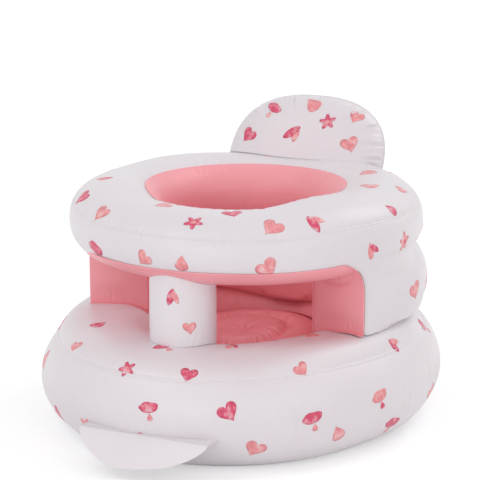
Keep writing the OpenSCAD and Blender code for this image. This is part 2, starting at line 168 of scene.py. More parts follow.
# Folds beside each weld: how many, their depth, reach and width, and the seed of their draws
FOLDS = {
    "base_shoulder": (96, 0.55, 15, 3.0, 11),
    "base_skirt": (96, 0.9, 18, 3.0, 12),
    "pad_channel": (44, 2.0, 16, 3.2, 31),
    "pad_tuft": (9, 2.0, 26, 1.6, 32),
    "pad_rim": (50, 1.2, 15, 3.4, 33),
    "ring_outer": (70, 0.9, 13, 2.8, 41),
    "ring_liner": (62, 1.5, 14, 2.8, 42),
    "wall_groove": (74, 2.0, 20, 3.4, 51),
    "wall_foot": (66, 1.1, 15, 3.2, 52),
    "left_jamb_top": (9, 3.0, 26, 3.4, 61),
    "right_jamb_top": (9, 3.0, 26, 3.4, 62),
    "left_jamb_foot": (16, 1.3, 12, 2.6, 63),
    "right_jamb_foot": (16, 1.3, 12, 2.6, 64),
    "liner_groove": (40, 2.2, 18, 3.2, 71),
    "liner_top": (40, 1.0, 13, 2.8, 72),
    "arch_edge": (62, 0.8, 10, 2.6, 73),
    "apron": (40, 1.2, 30, 3.0, 74),
    "post_foot": (22, 0.7, 12, 2.3, 81),
    "post_top": (20, 0.7, 12, 2.3, 82),
    "back_rear": (36, 4.2, 17, 2.7, 91),
    "back_front": (36, 4.2, 17, 2.7, 92),
}
# Slow waves in each chamber's skin: their length and height, and the seed of their draws
WAVES = {"base": (150, 0.9, 5), "ring": (130, 0.7, 6), "wall": (120, 0.9, 7)}


def ease(value, low, high):
    """Smooth step: 0 at low, 1 at high, with level ends."""
    t = np.clip((value - low) / (high - low), 0, 1)
    return t * t * (3 - 2 * t)


def hump(value, up, down):
    """Smooth hump: rises over the span up and falls over the span down."""
    return ease(value, *up) * (1 - ease(value, *down))


def rounded(v, power=TUBE_POWER):
    """Turns a sine or cosine into its superellipse counterpart: sign(v) times |v| to the power 2/p."""
    return np.sign(v) * np.abs(v) ** (2 / power)


def rise(away, half_w, half_h, power=TUBE_POWER):
    """Height of a superellipse over its middle, at a distance away: h times (1 - |a/w|^p)^(1/p)."""
    return half_h * (1 - np.minimum(1, np.abs(away) / half_w) ** power) ** (1 / power)


def bell(x):
    """Bell curve: e to the power of minus x squared."""
    return np.exp(-(x * x))


def weld_line(away):
    """Profile across a weld: a shallow pinch, and in its middle the narrow bead of the welded edges."""
    return BEAD[0] * bell(away / BEAD[1]) - PINCH[0] * bell(away / PINCH[1])


def folds(along, away, total, weld):
    """Small folds beside a weld, along a run that closes on itself after a total length. Each is a narrow
    bell-shaped valley between two low ridges, leans a little, and fades as a bell with the distance away."""
    count, depth, reach, width, seed = FOLDS[weld]
    chance = np.random.default_rng(seed)
    place = (np.arange(count) + chance.uniform(-0.36, 0.36, count)) * total / count
    deep = depth * chance.uniform(0.25, 1.0, count)
    far = reach * chance.uniform(0.45, 1.3, count)
    wide = width * chance.uniform(0.7, 1.4, count)
    lean = chance.uniform(-0.3, 0.3, count)
    height = np.zeros(np.broadcast(along, away).shape)
    for at, d, f, w, k in zip(place, deep, far, wide, lean):
        x = np.abs((along + k * away - at + total / 2) % total - total / 2)
        x = x / (w * (0.7 + 0.6 * np.abs(away) / f))
        height += d * (0.4 * bell((x - 1.9) / 0.9) - bell(x)) * bell(away / f)
    return height


def swell(points, skin):
    """Slow waves in a skin: a sum of eight sines in seeded directions, each about one wave length long."""
    size, amount, seed = WAVES[skin]
    chance = np.random.default_rng(seed)
    total = np.zeros(points.shape[:-1])
    for _ in range(8):
        way = chance.normal(size=3)
        way *= 2 * math.pi / (size * chance.uniform(0.7, 1.6)) / np.linalg.norm(way)
        total += np.sin(points @ way + chance.uniform(0, 2 * math.pi))
    return amount * total / 2.5


def step(points, axis, wrapped):
    """Difference between the neighbours of each point of a grid, along one of its ways."""
    if wrapped:
        return np.roll(points, -1, axis) - np.roll(points, 1, axis)
    return np.gradient(points, axis=axis)


def normals(points, wrap_u, wrap_v):
    """Unit normals of a grid of points, from the cross product of its two central differences."""
    n = np.cross(step(points, 0, wrap_u), step(points, 1, wrap_v))
    return n / np.maximum(np.linalg.norm(n, axis=-1, keepdims=True), 1e-9)


def run_length(line):
    """Distance travelled along a line of points, from its first one."""
    return np.concatenate([[0], np.cumsum(np.linalg.norm(np.diff(line, axis=0), axis=1))])


# Extra points of a section beside each seam, in radians, and how near to it the even ones are left out
SEAM_STEPS = np.array([-5, -3.4, -2.2, -1.4, -0.8, -0.4, 0, 0.4, 0.8, 1.4, 2.2, 3.4, 5]) / 100
SEAM_CLEAR = 0.055


def tube_angles(count, seams):
    """Angles round a tube: even ones, and a closer set near each seam's angle."""
    keep = np.linspace(0, 2 * math.pi, count, endpoint=False)
    for s in seams:
        keep = keep[np.abs((keep - s + math.pi) % (2 * math.pi) - math.pi) > SEAM_CLEAR]
    return np.sort(np.concatenate([keep, *[(s + SEAM_STEPS) % (2 * math.pi) for s in seams]]))


def from_seam(run, angles, seam):
    """Distance along a tube's section from a seam. Past half way round it is counted back."""
    away = run - np.interp(seam, angles, run)
    return np.where(away > run[-1] / 2, away - run[-1], away)[None, :]


def section_angle(up, half_h, inside=False):
    """Angle on a tube's section at which it is that far above its middle."""
    a = math.asin(np.sign(up) * abs(up / half_h) ** (TUBE_POWER / 2))
    return math.pi - a if inside else a


def oval(p, turn, inset):
    """Base outline moved in: an oval of four arcs, two large ones at the sides and two smaller at the ends,
    at a turn of its normal from +X."""
    c, s = np.cos(turn), np.sin(turn)
    at_side = np.abs(s) * p.side_shift < np.abs(c) * p.end_shift
    r = np.where(at_side, p.side_r, p.base_end_r) - inset
    x = np.where(at_side, -np.sign(c) * p.side_shift, 0) + r * c
    y = np.where(at_side, 0, np.sign(s) * p.end_shift) + r * s
    return x, y


def base_away(p, x, y):
    """Distance of a point outwards from the base's crown line, from the arc that is nearest."""
    ax, ay = np.abs(x), np.abs(y)
    at_end = (ay - p.end_shift) * p.side_shift >= ax * p.end_shift
    end_inset = p.base_end_r - np.hypot(ax, ay - p.end_shift)
    return p.base_out - np.where(at_end, end_inset, p.side_r - np.hypot(ax + p.side_shift, ay))


# The base's top is drawn level under the wall's two front ends, between these turns, and so far outwards
LEVEL_RISE, LEVEL_FALL = np.radians((25, 60)), np.radians((88, 122))
LEVEL_OUT = 31
# How much it swells there, under the right and the left end
RIGHT_SWELL, LEFT_SWELL = 5.5, 1.0


def base_top(p, x, y):
    """Height of the base ring's skin over a place on the plan. Its top is drawn level out to the wall's two
    front ends, and swells a little under them."""
    away = base_away(p, x, y)
    level = hump(np.abs(turn_of(p, x, y)), LEVEL_RISE, LEVEL_FALL)
    swollen = np.where(x > 0, RIGHT_SWELL, LEFT_SWELL) * level * hump(away, (-10, 46), (52, 96))
    away = away - LEVEL_OUT * level * hump(away, (0, 51), (52, 80))
    return p.base_mid + rise(away, np.where(away < 0, p.base_in, p.base_out), p.base_half_h) + swollen


# Turns over which the arm ring's thinner front passes into its full height
FRONT_FADE = np.radians((30, 64))


def front_share(turn):
    """1 over the leg arches, fading to 0 behind them."""
    return 1 - ease(np.abs(turn), *FRONT_FADE)


def ring_middle(p, turn):
    """Height of the middle of the arm ring's section."""
    return p.ring_z - p.ring_dip / 2 * front_share(turn)


def ring_half(p, turn):
    """Half the height of the arm ring's section."""
    return p.ring_half_h - p.ring_dip / 2 * front_share(turn)


def upper(p, turn, r, z):
    """Point of the upper chambers: turn is measured from the front towards +X."""
    turn, r, z = np.broadcast_arrays(turn, r, z)
    return np.stack([r * np.sin(turn), p.upper_y - r * np.cos(turn), z], -1)


def turn_of(p, x, y):
    """Turn of a place on the plan about the upper chambers' middle."""
    return np.arctan2(x, p.upper_y - y)


def ring_height(p, x, y, side):
    """Height of the arm ring's top (+1) or underside (-1) over a place on the plan, level beyond the tube."""
    turn = turn_of(p, x, y)
    away = np.hypot(x, y - p.upper_y) - p.ring_r
    return ring_middle(p, turn) + side * rise(away, p.ring_half_w, ring_half(p, turn))


def ring_side(p, z, turn, side, grow=0):
    """Radius of the arm ring's skin at a height, on its outer (+1) or inner (-1) side."""
    up = z - ring_middle(p, turn)
    return p.ring_r + side * rise(up, ring_half(p, turn) + grow, p.ring_half_w + grow)


def wall_side(p, z, side, grow=0):
    """Radius of the rear wall's round section at a height, on its outer (+1) or inner (-1) side."""
    return p.wall_r + side * rise(z - p.wall_z, p.wall_half_h + grow, p.wall_half_w + grow)


def joined(a, b, blend):
    """Larger of two values, with the corner between them filled over a width: max + h^2 k/4."""
    h = np.maximum(blend - np.abs(a - b), 0) / blend
    return np.maximum(a, b) + h * h * blend / 4


def keep_off(points, p, gap):
    """Moves the points that lie inside the arm ring's section out to its skin, straight away from the
    section's middle."""
    x, y, z = points[..., 0], points[..., 1], points[..., 2]
    turn = turn_of(p, x, y)
    dr, dz = np.hypot(x, y - p.upper_y) - p.ring_r, z - ring_middle(p, turn)
    hw, hh = p.ring_half_w + gap, ring_half(p, turn) + gap
    q = (np.abs(dr / hw) ** TUBE_POWER + np.abs(dz / hh) ** TUBE_POWER) ** (1 / TUBE_POWER)
    scale = np.where(q < 1, 1 / np.maximum(q, 0.05), 1)
    return upper(p, turn, p.ring_r + dr * scale, ring_middle(p, turn) + dz * scale)


# ---------------------------------------------------------------- mesh making


def face_grid(rows, columns, wrap_u, wrap_v, first=0):
    """Four-sided faces between neighbouring points of a grid."""
    u, v = np.arange(rows if wrap_u else rows - 1), np.arange(columns if wrap_v else columns - 1)
    a, b = np.meshgrid(u, v, indexing="ij")
    c, d = (a + 1) % rows, (b + 1) % columns
    quads = np.stack([a * columns + b, c * columns + b, c * columns + d, a * columns + d], -1)
    return quads.reshape(-1, 4) + first


# Finishes of the films and of the print
WHITE, PINK, INKS = ["white_film"], ["pink_film"], ["coral_ink", "rose_ink"]


def make_piece(name, vertices, faces, finishes, replaces=(), body=SEAT):
    """Puts points in millimetres and their faces into a mesh at the origin, and rides it on its body."""
    mesh = bpy.data.meshes.new(name)
    mesh.from_pydata((vertices / 1000).tolist(), [], faces)
    mesh.validate()
    mesh.polygons.foreach_set("use_smooth", np.ones(len(mesh.polygons), bool))
    mesh.update()
    piece = bpy.data.objects.new(name, mesh)
    bpy.context.scene.collection.objects.link(piece)
    for finish in finishes:
        mesh.materials.append(finish_of(finish))
    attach(piece, body)
    if replaces:
        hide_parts(*replaces)
    return piece


def tube_piece(name, points, finishes, **more):
    """Closed skin of a grid that wraps both ways."""
    rows, columns = points.shape[:2]
    faces = face_grid(rows, columns, True, True).tolist()
    return make_piece(name, points.reshape(-1, 3), faces, finishes, **more)


def capped_piece(name, points, finishes, **more):
    """Skin of a tube whose two ends, the first and the last row, are closed by one face each."""
    rows, columns = points.shape[:2]
    faces = face_grid(rows, columns, False, True).tolist()
    faces.append(list(range(columns)))
    faces.append([(rows - 1) * columns + i for i in range(columns - 1, -1, -1)])
    return make_piece(name, points.reshape(-1, 3), faces, finishes, **more)


def lofted_piece(name, points, finishes, flipped=False, **more):
    """Skin of rings, one to a column, whose first and last are closed by one face each. Its faces point
    outwards where the rings run anticlockwise and upwards, and flipped turns them round."""
    rows, columns = points.shape[:2]
    faces = face_grid(rows, columns, True, False).tolist()
    faces.append([r * columns for r in range(rows)][::-1])
    faces.append([r * columns + columns - 1 for r in range(rows)])
    if flipped:
        faces = [face[::-1] for face in faces]
    return make_piece(name, points.reshape(-1, 3), faces, finishes, **more)


def film_piece(name, points, finishes, thick=0.35, **more):
    """Thin film: the grid of its outer side, a second one under it, and the rim between them."""
    under = points - normals(points, False, False) * thick
    loop = np.concatenate([points, under[:, ::-1]], axis=1)
    rows, columns = loop.shape[:2]
    i = np.arange(columns // 2 - 1)
    first_end = np.stack([i, i + 1, columns - 2 - i, columns - 1 - i], -1)
    last_end = (first_end + (rows - 1) * columns)[:, ::-1]
    faces = np.concatenate([face_grid(rows, columns, False, True), first_end, last_end])
    return make_piece(name, loop.reshape(-1, 3), faces.tolist(), finishes, **more)


# ---------------------------------------------------------------- print

HEART, DROP, LEAF, CLOUD, BLOOM, DOT = range(6)
# Motifs whose outline runs clockwise
CLOCKWISE = (HEART, DROP, LEAF)
# How far a motif's ink stands off the film, and how far its rim does
INK_LIFT, RIM_LIFT = 0.28, 0.05


def motif_outline(kind, t):
    """Outline of a motif about its middle, one unit high, at an angle t: a plain heart, drop, leaf, cloud,
    five-petalled flower or dot."""
    if kind == HEART:
        x = 16 * np.sin(t) ** 3 / 30
        y = (13 * np.cos(t) - 5 * np.cos(2 * t) - 2 * np.cos(3 * t) - np.cos(4 * t) + 2.5) / 30
    elif kind == DROP:
        x, y = 0.62 * np.sin(t) * np.sin(t / 2) ** 1.5, 0.55 * np.cos(t)
    elif kind == LEAF:
        x, y = 0.24 * np.sin(t) * (1 - 0.35 * np.abs(np.cos(t)) ** 3), 0.58 * np.cos(t)
    elif kind == CLOUD:
        r = 1 + 0.2 * np.abs(np.sin(2.5 * t)) * (0.5 + 0.5 * np.tanh(6 * np.sin(t)))
        x, y = 0.56 * r * np.cos(t), 0.30 * r * np.sin(t)
    elif kind == BLOOM:
        r = 0.36 + 0.13 * np.cos(5 * t)
        x, y = r * np.cos(t), r * np.sin(t)
    else:
        x, y = 0.22 * np.cos(t), 0.22 * np.sin(t)
    return x, y


class Film:
    """A finished skin that takes print: its grid, its normals, and the distance run along each way."""

    def __init__(self, points, wrap_u):
        self.points, self.wrap_u = points, wrap_u
        self.normals = normals(points, wrap_u, False)
        across = np.linalg.norm(step(points, 0, wrap_u), axis=-1) / (2 if wrap_u else 1)
        self.across = np.maximum(across, 0.05)
        gaps = np.linalg.norm(np.diff(points, axis=1), axis=-1)
        self.up = np.concatenate([np.zeros((len(points), 1)), np.cumsum(gaps, axis=1)], axis=1)

    def lay(self, row, column, x, y, lift):
        """Points x along and y across the film from a grid place, lifted off it. Both ways are measured on
        the film."""
        rows, columns = self.points.shape[:2]
        start = np.interp(column, np.arange(columns), self.up[int(row) % rows])
        v = np.interp(start + y, self.up[int(row) % rows], np.arange(columns))
        v = np.clip(v, 0, columns - 1.001)
        return self.at(row + x / self.across[int(row) % rows, v.astype(int)], v, lift)

    def at(self, u, v, lift):
        """Points at fractional grid places, lifted off the film. Between grid points it is taken straight."""
        rows, columns = self.points.shape[:2]
        u = u % rows if self.wrap_u else np.clip(u, 0, rows - 1.001)
        v = np.clip(v, 0, columns - 1.001)
        i, j = u.astype(int), v.astype(int)
        fu, fv = (u - i)[:, None], (v - j)[:, None]
        k = (i + 1) % rows

        def mixed(g):
            """Straight mix of the four grid points round each place."""
            near, far = g[i, j] * (1 - fu) + g[k, j] * fu, g[i, j + 1] * (1 - fu) + g[k, j + 1] * fu
            return near * (1 - fv) + far * fv

        return mixed(self.points) + mixed(self.normals) * np.asarray(lift)[:, None]


def outer_film(points, angles):
    """A tube's skin as a film that starts on its hidden inner side, and a function that gives the column of
    an angle in degrees."""
    start = int(np.searchsorted(angles, math.radians(225)))
    turned = (angles[np.arange(len(angles)) - len(angles) + start] - angles[start]) % (2 * math.pi)

    def at(degrees):
        angle = (math.radians(degrees) - angles[start]) % (2 * math.pi)
        return float(np.interp(angle, turned, np.arange(len(angles))))

    return Film(np.roll(points, -start, axis=1), True), at


def print_piece(name, film, places, seed):
    """Printed motifs: each is a thin disc of ink with a motif's outline, laid on the film. A place is
    (row, column, kind, size)."""
    chance = np.random.default_rng(seed)
    t = np.linspace(0, 2 * math.pi, 26, endpoint=False)
    n = len(t)
    # A disc is its middle, three rings that grow to the outline, and the outline once more as the rim
    shares = np.array([0.34, 0.68, 1.0])[:, None]
    lift = np.concatenate([np.full(1 + 3 * n, INK_LIFT), np.full(n, RIM_LIFT)])
    vertices, faces, ink_of = [], [], []

    def blot(row, column, kind, size, turn, ink, dx=0.0, dy=0.0):
        """One disc, turned about a place on the film and shifted by shares of its size."""
        ox, oy = motif_outline(kind, t)
        x = np.concatenate([[0], (shares * ox).ravel(), ox]) * size
        y = np.concatenate([[0], (shares * oy).ravel(), oy]) * size
        c, s = math.cos(turn), math.sin(turn)
        x, y = (x + dx * size) * c - (y + dy * size) * s, (x + dx * size) * s + (y + dy * size) * c
        first = sum(len(v) for v in vertices)
        vertices.append(film.lay(row, column, x, y, lift))
        made = [[first, first + 1 + i, first + 1 + (i + 1) % n] for i in range(n)]
        made += face_grid(4, n, False, True, first + 1).tolist()
        faces.extend([face[::-1] for face in made] if kind in CLOCKWISE else made)
        ink_of.extend([ink] * len(made))

    for row, column, kind, size in places:
        turn = chance.uniform(-0.9, 0.9)
        ink = int(chance.uniform() < (0.35 if kind in (HEART, BLOOM) else 0.6))
        blot(row, column, kind, size, turn, ink)
        if kind == BLOOM:
            blot(row, column, DOT, size * 0.55, turn, 1 - ink)
        elif kind == CLOUD:
            blot(row, column, DROP, size * 0.4, turn, 1 - ink, 0.1, -1.35)
        elif kind == LEAF:
            blot(row, column, LEAF, size * 0.8, turn + 0.75, 1 - ink, 0.35, -0.1)
    piece = make_piece(name, np.concatenate(vertices), faces, INKS)
    piece.data.polygons.foreach_set("material_index", np.array(ink_of, dtype=np.int32))


def apart(film, places, gap=37.0, clear=()):
    """Leaves out each motif that would stand too near to an earlier one, or to a point kept clear."""
    kept, spots = [], list(clear)
    for place in places:
        spot = film.points[int(place[0]) % len(film.points), int(place[1])]
        if all(np.linalg.norm(spot - other) > gap for other in spots):
            kept.append(place)
            spots.append(spot)
    return kept


def scatter(rows, bands, kinds, size, seed, start=0.0, turns=1.0):
    """Places for motifs: even steps along each band's run, jittered, with the kinds in turn. A band is
    (column, count)."""
    chance = np.random.default_rng(seed)
    places, k = [], int(chance.integers(6))
    for column, count in bands:
        for i in range(count):
            row = (start + turns * (i + chance.uniform(0.2, 0.8)) / count) * rows
            k += int(chance.integers(1, len(kinds)))
            across = column + chance.uniform(-2.0, 2.0)
            places.append((row, across, kinds[k % len(kinds)], size * chance.uniform(0.72, 1.2)))
    return places


# ---------------------------------------------------------------- materials


def plug(tree, node, **inputs):
    """Sets or links the named sockets of a node."""
    for name, value in inputs.items():
        socket = node.inputs[name.replace("_", " ")]
        if isinstance(value, bpy.types.NodeSocket):
            tree.links.new(value, socket)
        else:
            socket.default_value = value
    return node


def linked(tree, kind, place, **inputs):
    """A new node with values or links on its sockets."""
    node = tree.nodes.new(kind)
    node.location = place
    return plug(tree, node, **inputs)


def new_material(name):
    """A new material, its node tree and its shader, and the place of a point on its object."""
    material = bpy.data.materials.new(name)
    material.use_nodes = True
    tree = material.node_tree
    spot = linked(tree, "ShaderNodeTexCoord", (-1500, 0)).outputs["Object"]
    return material, tree, tree.nodes["Principled BSDF"], spot


def noise(tree, spot, scale, detail, place):
    """Soft noise over the object, its scale in spots a metre."""
    return linked(tree, "ShaderNodeTexNoise", place, Vector=spot, Scale=scale, Detail=detail).outputs["Fac"]


def ramp(tree, fac, stops, place):
    """Colour ramp from a factor: stops are (position, rgb)."""
    node = linked(tree, "ShaderNodeValToRGB", place, Fac=fac)
    line = node.color_ramp
    while len(line.elements) < len(stops):
        line.elements.new(0.5)
    for element, (at, rgb) in zip(line.elements, stops):
        element.position, element.color = at, (*rgb, 1)
    return node.outputs["Color"]


def relief(tree, height, strength, depth, place, **under):
    """Bumps from a pattern, of a depth in metres, over the bumps under them."""
    node = linked(tree, "ShaderNodeBump", place, Strength=strength, Distance=depth, Height=height, **under)
    return node.outputs["Normal"]


def shade(rgb, amount):
    """A colour made lighter or darker."""
    return tuple(min(1, c * amount) for c in rgb)


# Clear coat that films and inks share
COAT = {"Coat_Weight": 0.12, "Coat_Roughness": 0.22}


def peel(tree, spot):
    """Fine orange-peel skin of rolled film."""
    return relief(tree, noise(tree, spot, 700.0, 2.0, (-1250, -320)), 0.05, 0.0004, (-650, -320))


def vinyl(name, rgb, roughness=0.38, deep=(0.965, 0.96, 0.97)):
    """Glossy vinyl film: slight cloudiness, a fine orange-peel skin, slow ripples, and a clear coat."""
    material, tree, shader, spot = new_material(name)
    cloud = noise(tree, spot, 9.0, 3.0, (-1250, 200))
    dark = tuple(c * d for c, d in zip(rgb, deep))
    tone = ramp(tree, cloud, [(0.3, dark), (0.7, rgb)], (-950, 200))
    smear = noise(tree, spot, 26.0, 4.0, (-1250, -60))
    spread = {"To_Min": roughness * 0.8, "To_Max": roughness * 1.3}
    rough = linked(tree, "ShaderNodeMapRange", (-950, -60), Value=smear, **spread).outputs["Result"]
    ripple = noise(tree, spot, 42.0, 2.0, (-1250, -560))
    skin = relief(tree, ripple, 0.10, 0.0025, (-400, -420), Normal=peel(tree, spot))
    plug(tree, shader, Base_Color=tone, Roughness=rough, Normal=skin, IOR=1.5, **COAT)
    plug(tree, shader, Subsurface_Weight=0.06, Subsurface_Radius=(0.004, 0.003, 0.003), Subsurface_Scale=1.0)
    return material


def ink(name, rgb):
    """Printed ink: blotchy like a brushed-on colour, with the film's own gloss."""
    material, tree, shader, spot = new_material(name)
    wash = noise(tree, spot, 130.0, 5.0, (-1250, 200))
    pale = tuple(0.55 * c + 0.40 for c in rgb)
    tone = ramp(tree, wash, [(0.32, shade(rgb, 0.82)), (0.5, rgb), (0.72, pale)], (-950, 200))
    plug(tree, shader, Base_Color=tone, Roughness=0.4, Normal=peel(tree, spot), **COAT)
    return material


def clear_vinyl(name, rgb):
    """Soft clear vinyl of the moulded valves, a little cloudy, with fine mould grain."""
    material, tree, shader, spot = new_material(name)
    cloud = noise(tree, spot, 160.0, 3.0, (-1250, 200))
    tone = ramp(tree, cloud, [(0.3, shade(rgb, 0.93)), (0.7, rgb)], (-950, 200))
    grain = relief(tree, noise(tree, spot, 1500.0, 2.0, (-1250, -320)), 0.08, 0.0002, (-650, -320))
    plug(tree, shader, Base_Color=tone, Roughness=0.22, Normal=grain, IOR=1.5, Transmission_Weight=0.35)
    return material


MATERIALS = {}


def finish_of(name):
    """The material of a film, ink or moulding, made the first time that it is asked for."""
    if name not in MATERIALS:
        c = paints()
        makers = {
            "white_film": lambda: vinyl("white_film", tuple(c.film)),
            "pink_film": lambda: vinyl("pink_film", tuple(c.liner), 0.42, (0.94, 0.86, 0.87)),
            "coral_ink": lambda: ink("coral_ink", tuple(c.coral)),
            "rose_ink": lambda: ink("rose_ink", tuple(c.rose)),
            "clear_vinyl": lambda: clear_vinyl("clear_vinyl", tuple(c.valve)),
        }
        MATERIALS[name] = makers[name]()
    return MATERIALS[name]


# ---------------------------------------------------------------- valves' seats


# Gap between a valve's flange and the film under it
FLANGE_GAP = 0.2


def valve_place(chamber, lean=0.0):
    """Seat point and outward axis of a chamber's air valve, in millimetres, from its flange in the frame. The
    axis points to the rear, and down by its lean."""
    axis = np.array((0, math.cos(lean), -math.sin(lean)))
    points = np.array([v.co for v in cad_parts[chamber + "_valve_flange"].data.vertices]) * 1000
    middle = (points.min(0) + points.max(0)) / 2
    return middle + axis * ((points @ axis).min() - FLANGE_GAP - middle @ axis), axis


def seat_valve(points, place, flat_r=16.0, fade_r=30.0, behind=25.0):
    """Draws the skin level with a valve's seat: its height along the valve's axis goes to 0 inside flat_r,
    and is its own again at fade_r. What lies further behind the seat stays."""
    origin, axis = place
    off = points - origin
    h = off @ axis
    away = np.linalg.norm(off - h[..., None] * axis, axis=-1)
    share = np.where(h > -behind, 1 - ease(away, flat_r, fade_r), 0)
    return points - (share * h)[..., None] * axis


def cut_pocket(piece, place, radius=8.3, depth=28.0, ahead=4.0):
    """Cuts the round pocket for the valve's stem into a chamber, with a boolean that is applied at once."""
    origin, axis = place
    t = np.linspace(0, 2 * math.pi, 40, endpoint=False)
    side = np.cross(axis, (1.0, 0, 0))
    ring = radius * (np.cos(t)[:, None] * np.array([1.0, 0, 0]) + np.sin(t)[:, None] * side)
    vertices = np.concatenate([origin + ring - axis * depth, origin + ring + axis * ahead])
    n = len(t)
    faces = [[i, (i + 1) % n, n + (i + 1) % n, n + i] for i in range(n)]
    faces += [list(range(n - 1, -1, -1)), list(range(n, 2 * n))]
    mesh = bpy.data.meshes.new("pocket")
    mesh.from_pydata((vertices / 1000).tolist(), [], faces)
    tool = bpy.data.objects.new("pocket", mesh)
    bpy.context.scene.collection.objects.link(tool)
    cut = piece.modifiers.new("pocket", "BOOLEAN")
    cut.operation, cut.object, cut.solver = "DIFFERENCE", tool, "EXACT"
    bpy.context.view_layer.update()
    done = bpy.data.meshes.new_from_object(piece.evaluated_get(bpy.context.evaluated_depsgraph_get()))
    piece.modifiers.clear()
    old, piece.data = piece.data, done
    bpy.data.meshes.remove(old)
    bpy.data.objects.remove(tool)
    bpy.data.meshes.remove(mesh)
    done.polygons.foreach_set("use_smooth", np.ones(len(done.polygons), bool))


# ---------------------------------------------------------------- base ring


# Points round the base's section, and rows round the base
BASE_COLUMNS, BASE_ROWS = 72, 700
# Spans of the section's angle over which the base turns plain and back, where pad and liner lie on it
BASE_LINED = (1.7, 2.0), (3.6, 3.9)
# Sheet under the base: its height, its thickness, how far it ends inside the tube's foot, and its rings
SHEET_Z, SHEET_T, SHEET_IN = 0.25, 0.35, 0.5
SHEET_RINGS = np.array([0.02, 0.15, 0.3, 0.45, 0.6, 0.75, 0.88, 0.95, 0.985, 1.0])


def base_seams(p):
    """Angles on the base's section of its two outer welds."""
    return [section_angle(z - p.base_mid, p.base_half_h) for z in (SHOULDER_SEAM_Z, SKIRT_SEAM_Z)]


def base_angles(p):
    """Angles round the base's section."""
    return tube_angles(BASE_COLUMNS, base_seams(p))


def base_skin(p):
    """Base ring: a superellipse section carried round the oval, with two welds outside, folds beside them
    and slow waves."""
    angles = base_angles(p)
    turn = np.linspace(0, 2 * math.pi, BASE_ROWS, endpoint=False)
    c, s = np.cos(angles), np.sin(angles)
    across = np.where(c < 0, p.base_in, p.base_out) * rounded(c)
    z = np.maximum(p.base_mid + p.base_half_h * rounded(s), FLOOR_TOP)
    x, y = oval(p, turn[:, None], p.base_out - across[None, :])
    outer_top = ((c > 0) & (s > 0))[None, :]
    points = np.stack([x, y, np.where(outer_top, base_top(p, x, y), z[None, :])], -1)
    run = run_length(np.stack([across, z], -1))
    along = run_length(np.stack(oval(p, np.append(turn, 2 * math.pi), 0), -1))
    height = np.zeros(x.shape)
    for seam, weld in zip(base_seams(p), ("base_shoulder", "base_skirt")):
        away = from_seam(run, angles, seam)
        height += weld_line(away)
        height += folds(along[:-1, None], away, along[-1], weld)
    height += swell(points, "base")
    height *= np.clip((z[None, :] - FLOOR_TOP) / 6, 0, 1) * (1 - hump(angles, *BASE_LINED))
    return points + normals(points, True, True) * height[..., None]


class FLOORSEAT_OT_base_ring(bpy.types.Operator):
    """Builds the base ring, the sheet under it and its print"""

    bl_idname = "floor_seat.base_ring"
    bl_label = "Base Ring"

    def execute(self, context):
        p, valve = plan(), valve_place("base")
        points = seat_valve(base_skin(p), valve)
        cut_pocket(tube_piece("base_ring_film", points, WHITE, replaces=["base_ring"]), valve)
        film, at = outer_film(points, base_angles(p))
        kinds = [HEART, DROP, CLOUD, LEAF, BLOOM, HEART, CLOUD]
        bands = [(at(338), 15), (at(8), 14), (at(46), 13), (at(86), 9)]
        places = scatter(len(points), bands, kinds, p.print_size, 3)
        print_piece("base_ring_print", film, apart(film, places, clear=[valve[0]]), 21)
        self.bottom(p)
        return {"FINISHED"}

    def bottom(self, p):
        """Sheet that closes the underside: rings of the oval from its middle out and back over them, with a
        welded rim."""
        turn = np.linspace(0, 2 * math.pi, 240, endpoint=False)
        reach = p.base_out - rise(FLOOR_TOP - p.base_mid, p.base_half_h, p.base_out)
        x, y = oval(p, turn, reach + SHEET_IN)
        level = np.full((len(turn), len(SHEET_RINGS)), SHEET_Z)
        grid = np.stack([x[:, None] * SHEET_RINGS, y[:, None] * SHEET_RINGS, level], -1)
        grid[..., 2] += 0.12 * bell((SHEET_RINGS - 0.965) / 0.012)
        over = grid[:, ::-1] + np.array([0, 0, SHEET_T])
        loop = np.concatenate([grid, over], axis=1)
        lofted_piece("base_bottom_film", loop, WHITE, replaces=["base_bottom_sheet"])


# ---------------------------------------------------------------- seat pad


# Roundness of the pad's dome, and the gap between its rim and the base
PAD_POWER, PAD_GAP = 4.2, 0.8
# Share of the way out at which the pad's weld channel runs, and radius at which the tuft's folds are counted
PAD_CHANNEL, TUFT_R = 0.56, 10
# Rings of the pad, as shares of the way out: under it, and from its rim to its middle over it
PAD_UNDER = np.array([0.05, 0.4, 0.7, 0.86, 0.93, 0.97, 0.99])
PAD_OVER = np.concatenate([[1.0, 1.0, 0.998, 0.993, 0.985, 0.975], np.linspace(0.96, 0.004, 86)])


def pad_dome(p, share):
    """Height of the seat pad's superellipse dome at a share of the way out to its rim."""
    return p.base_mid + (p.pad_h - p.base_mid) * (1 - share**PAD_POWER) ** (1 / PAD_POWER)


def pad_top(p, x, y):
    """Height of the seat pad's dome near its rim, over a place on the plan."""
    inside = -p.base_in - PAD_GAP - base_away(p, x, y)
    radius = np.hypot(x, y)
    return pad_dome(p, np.clip(radius / np.maximum(radius + inside, 1), 0, 1))


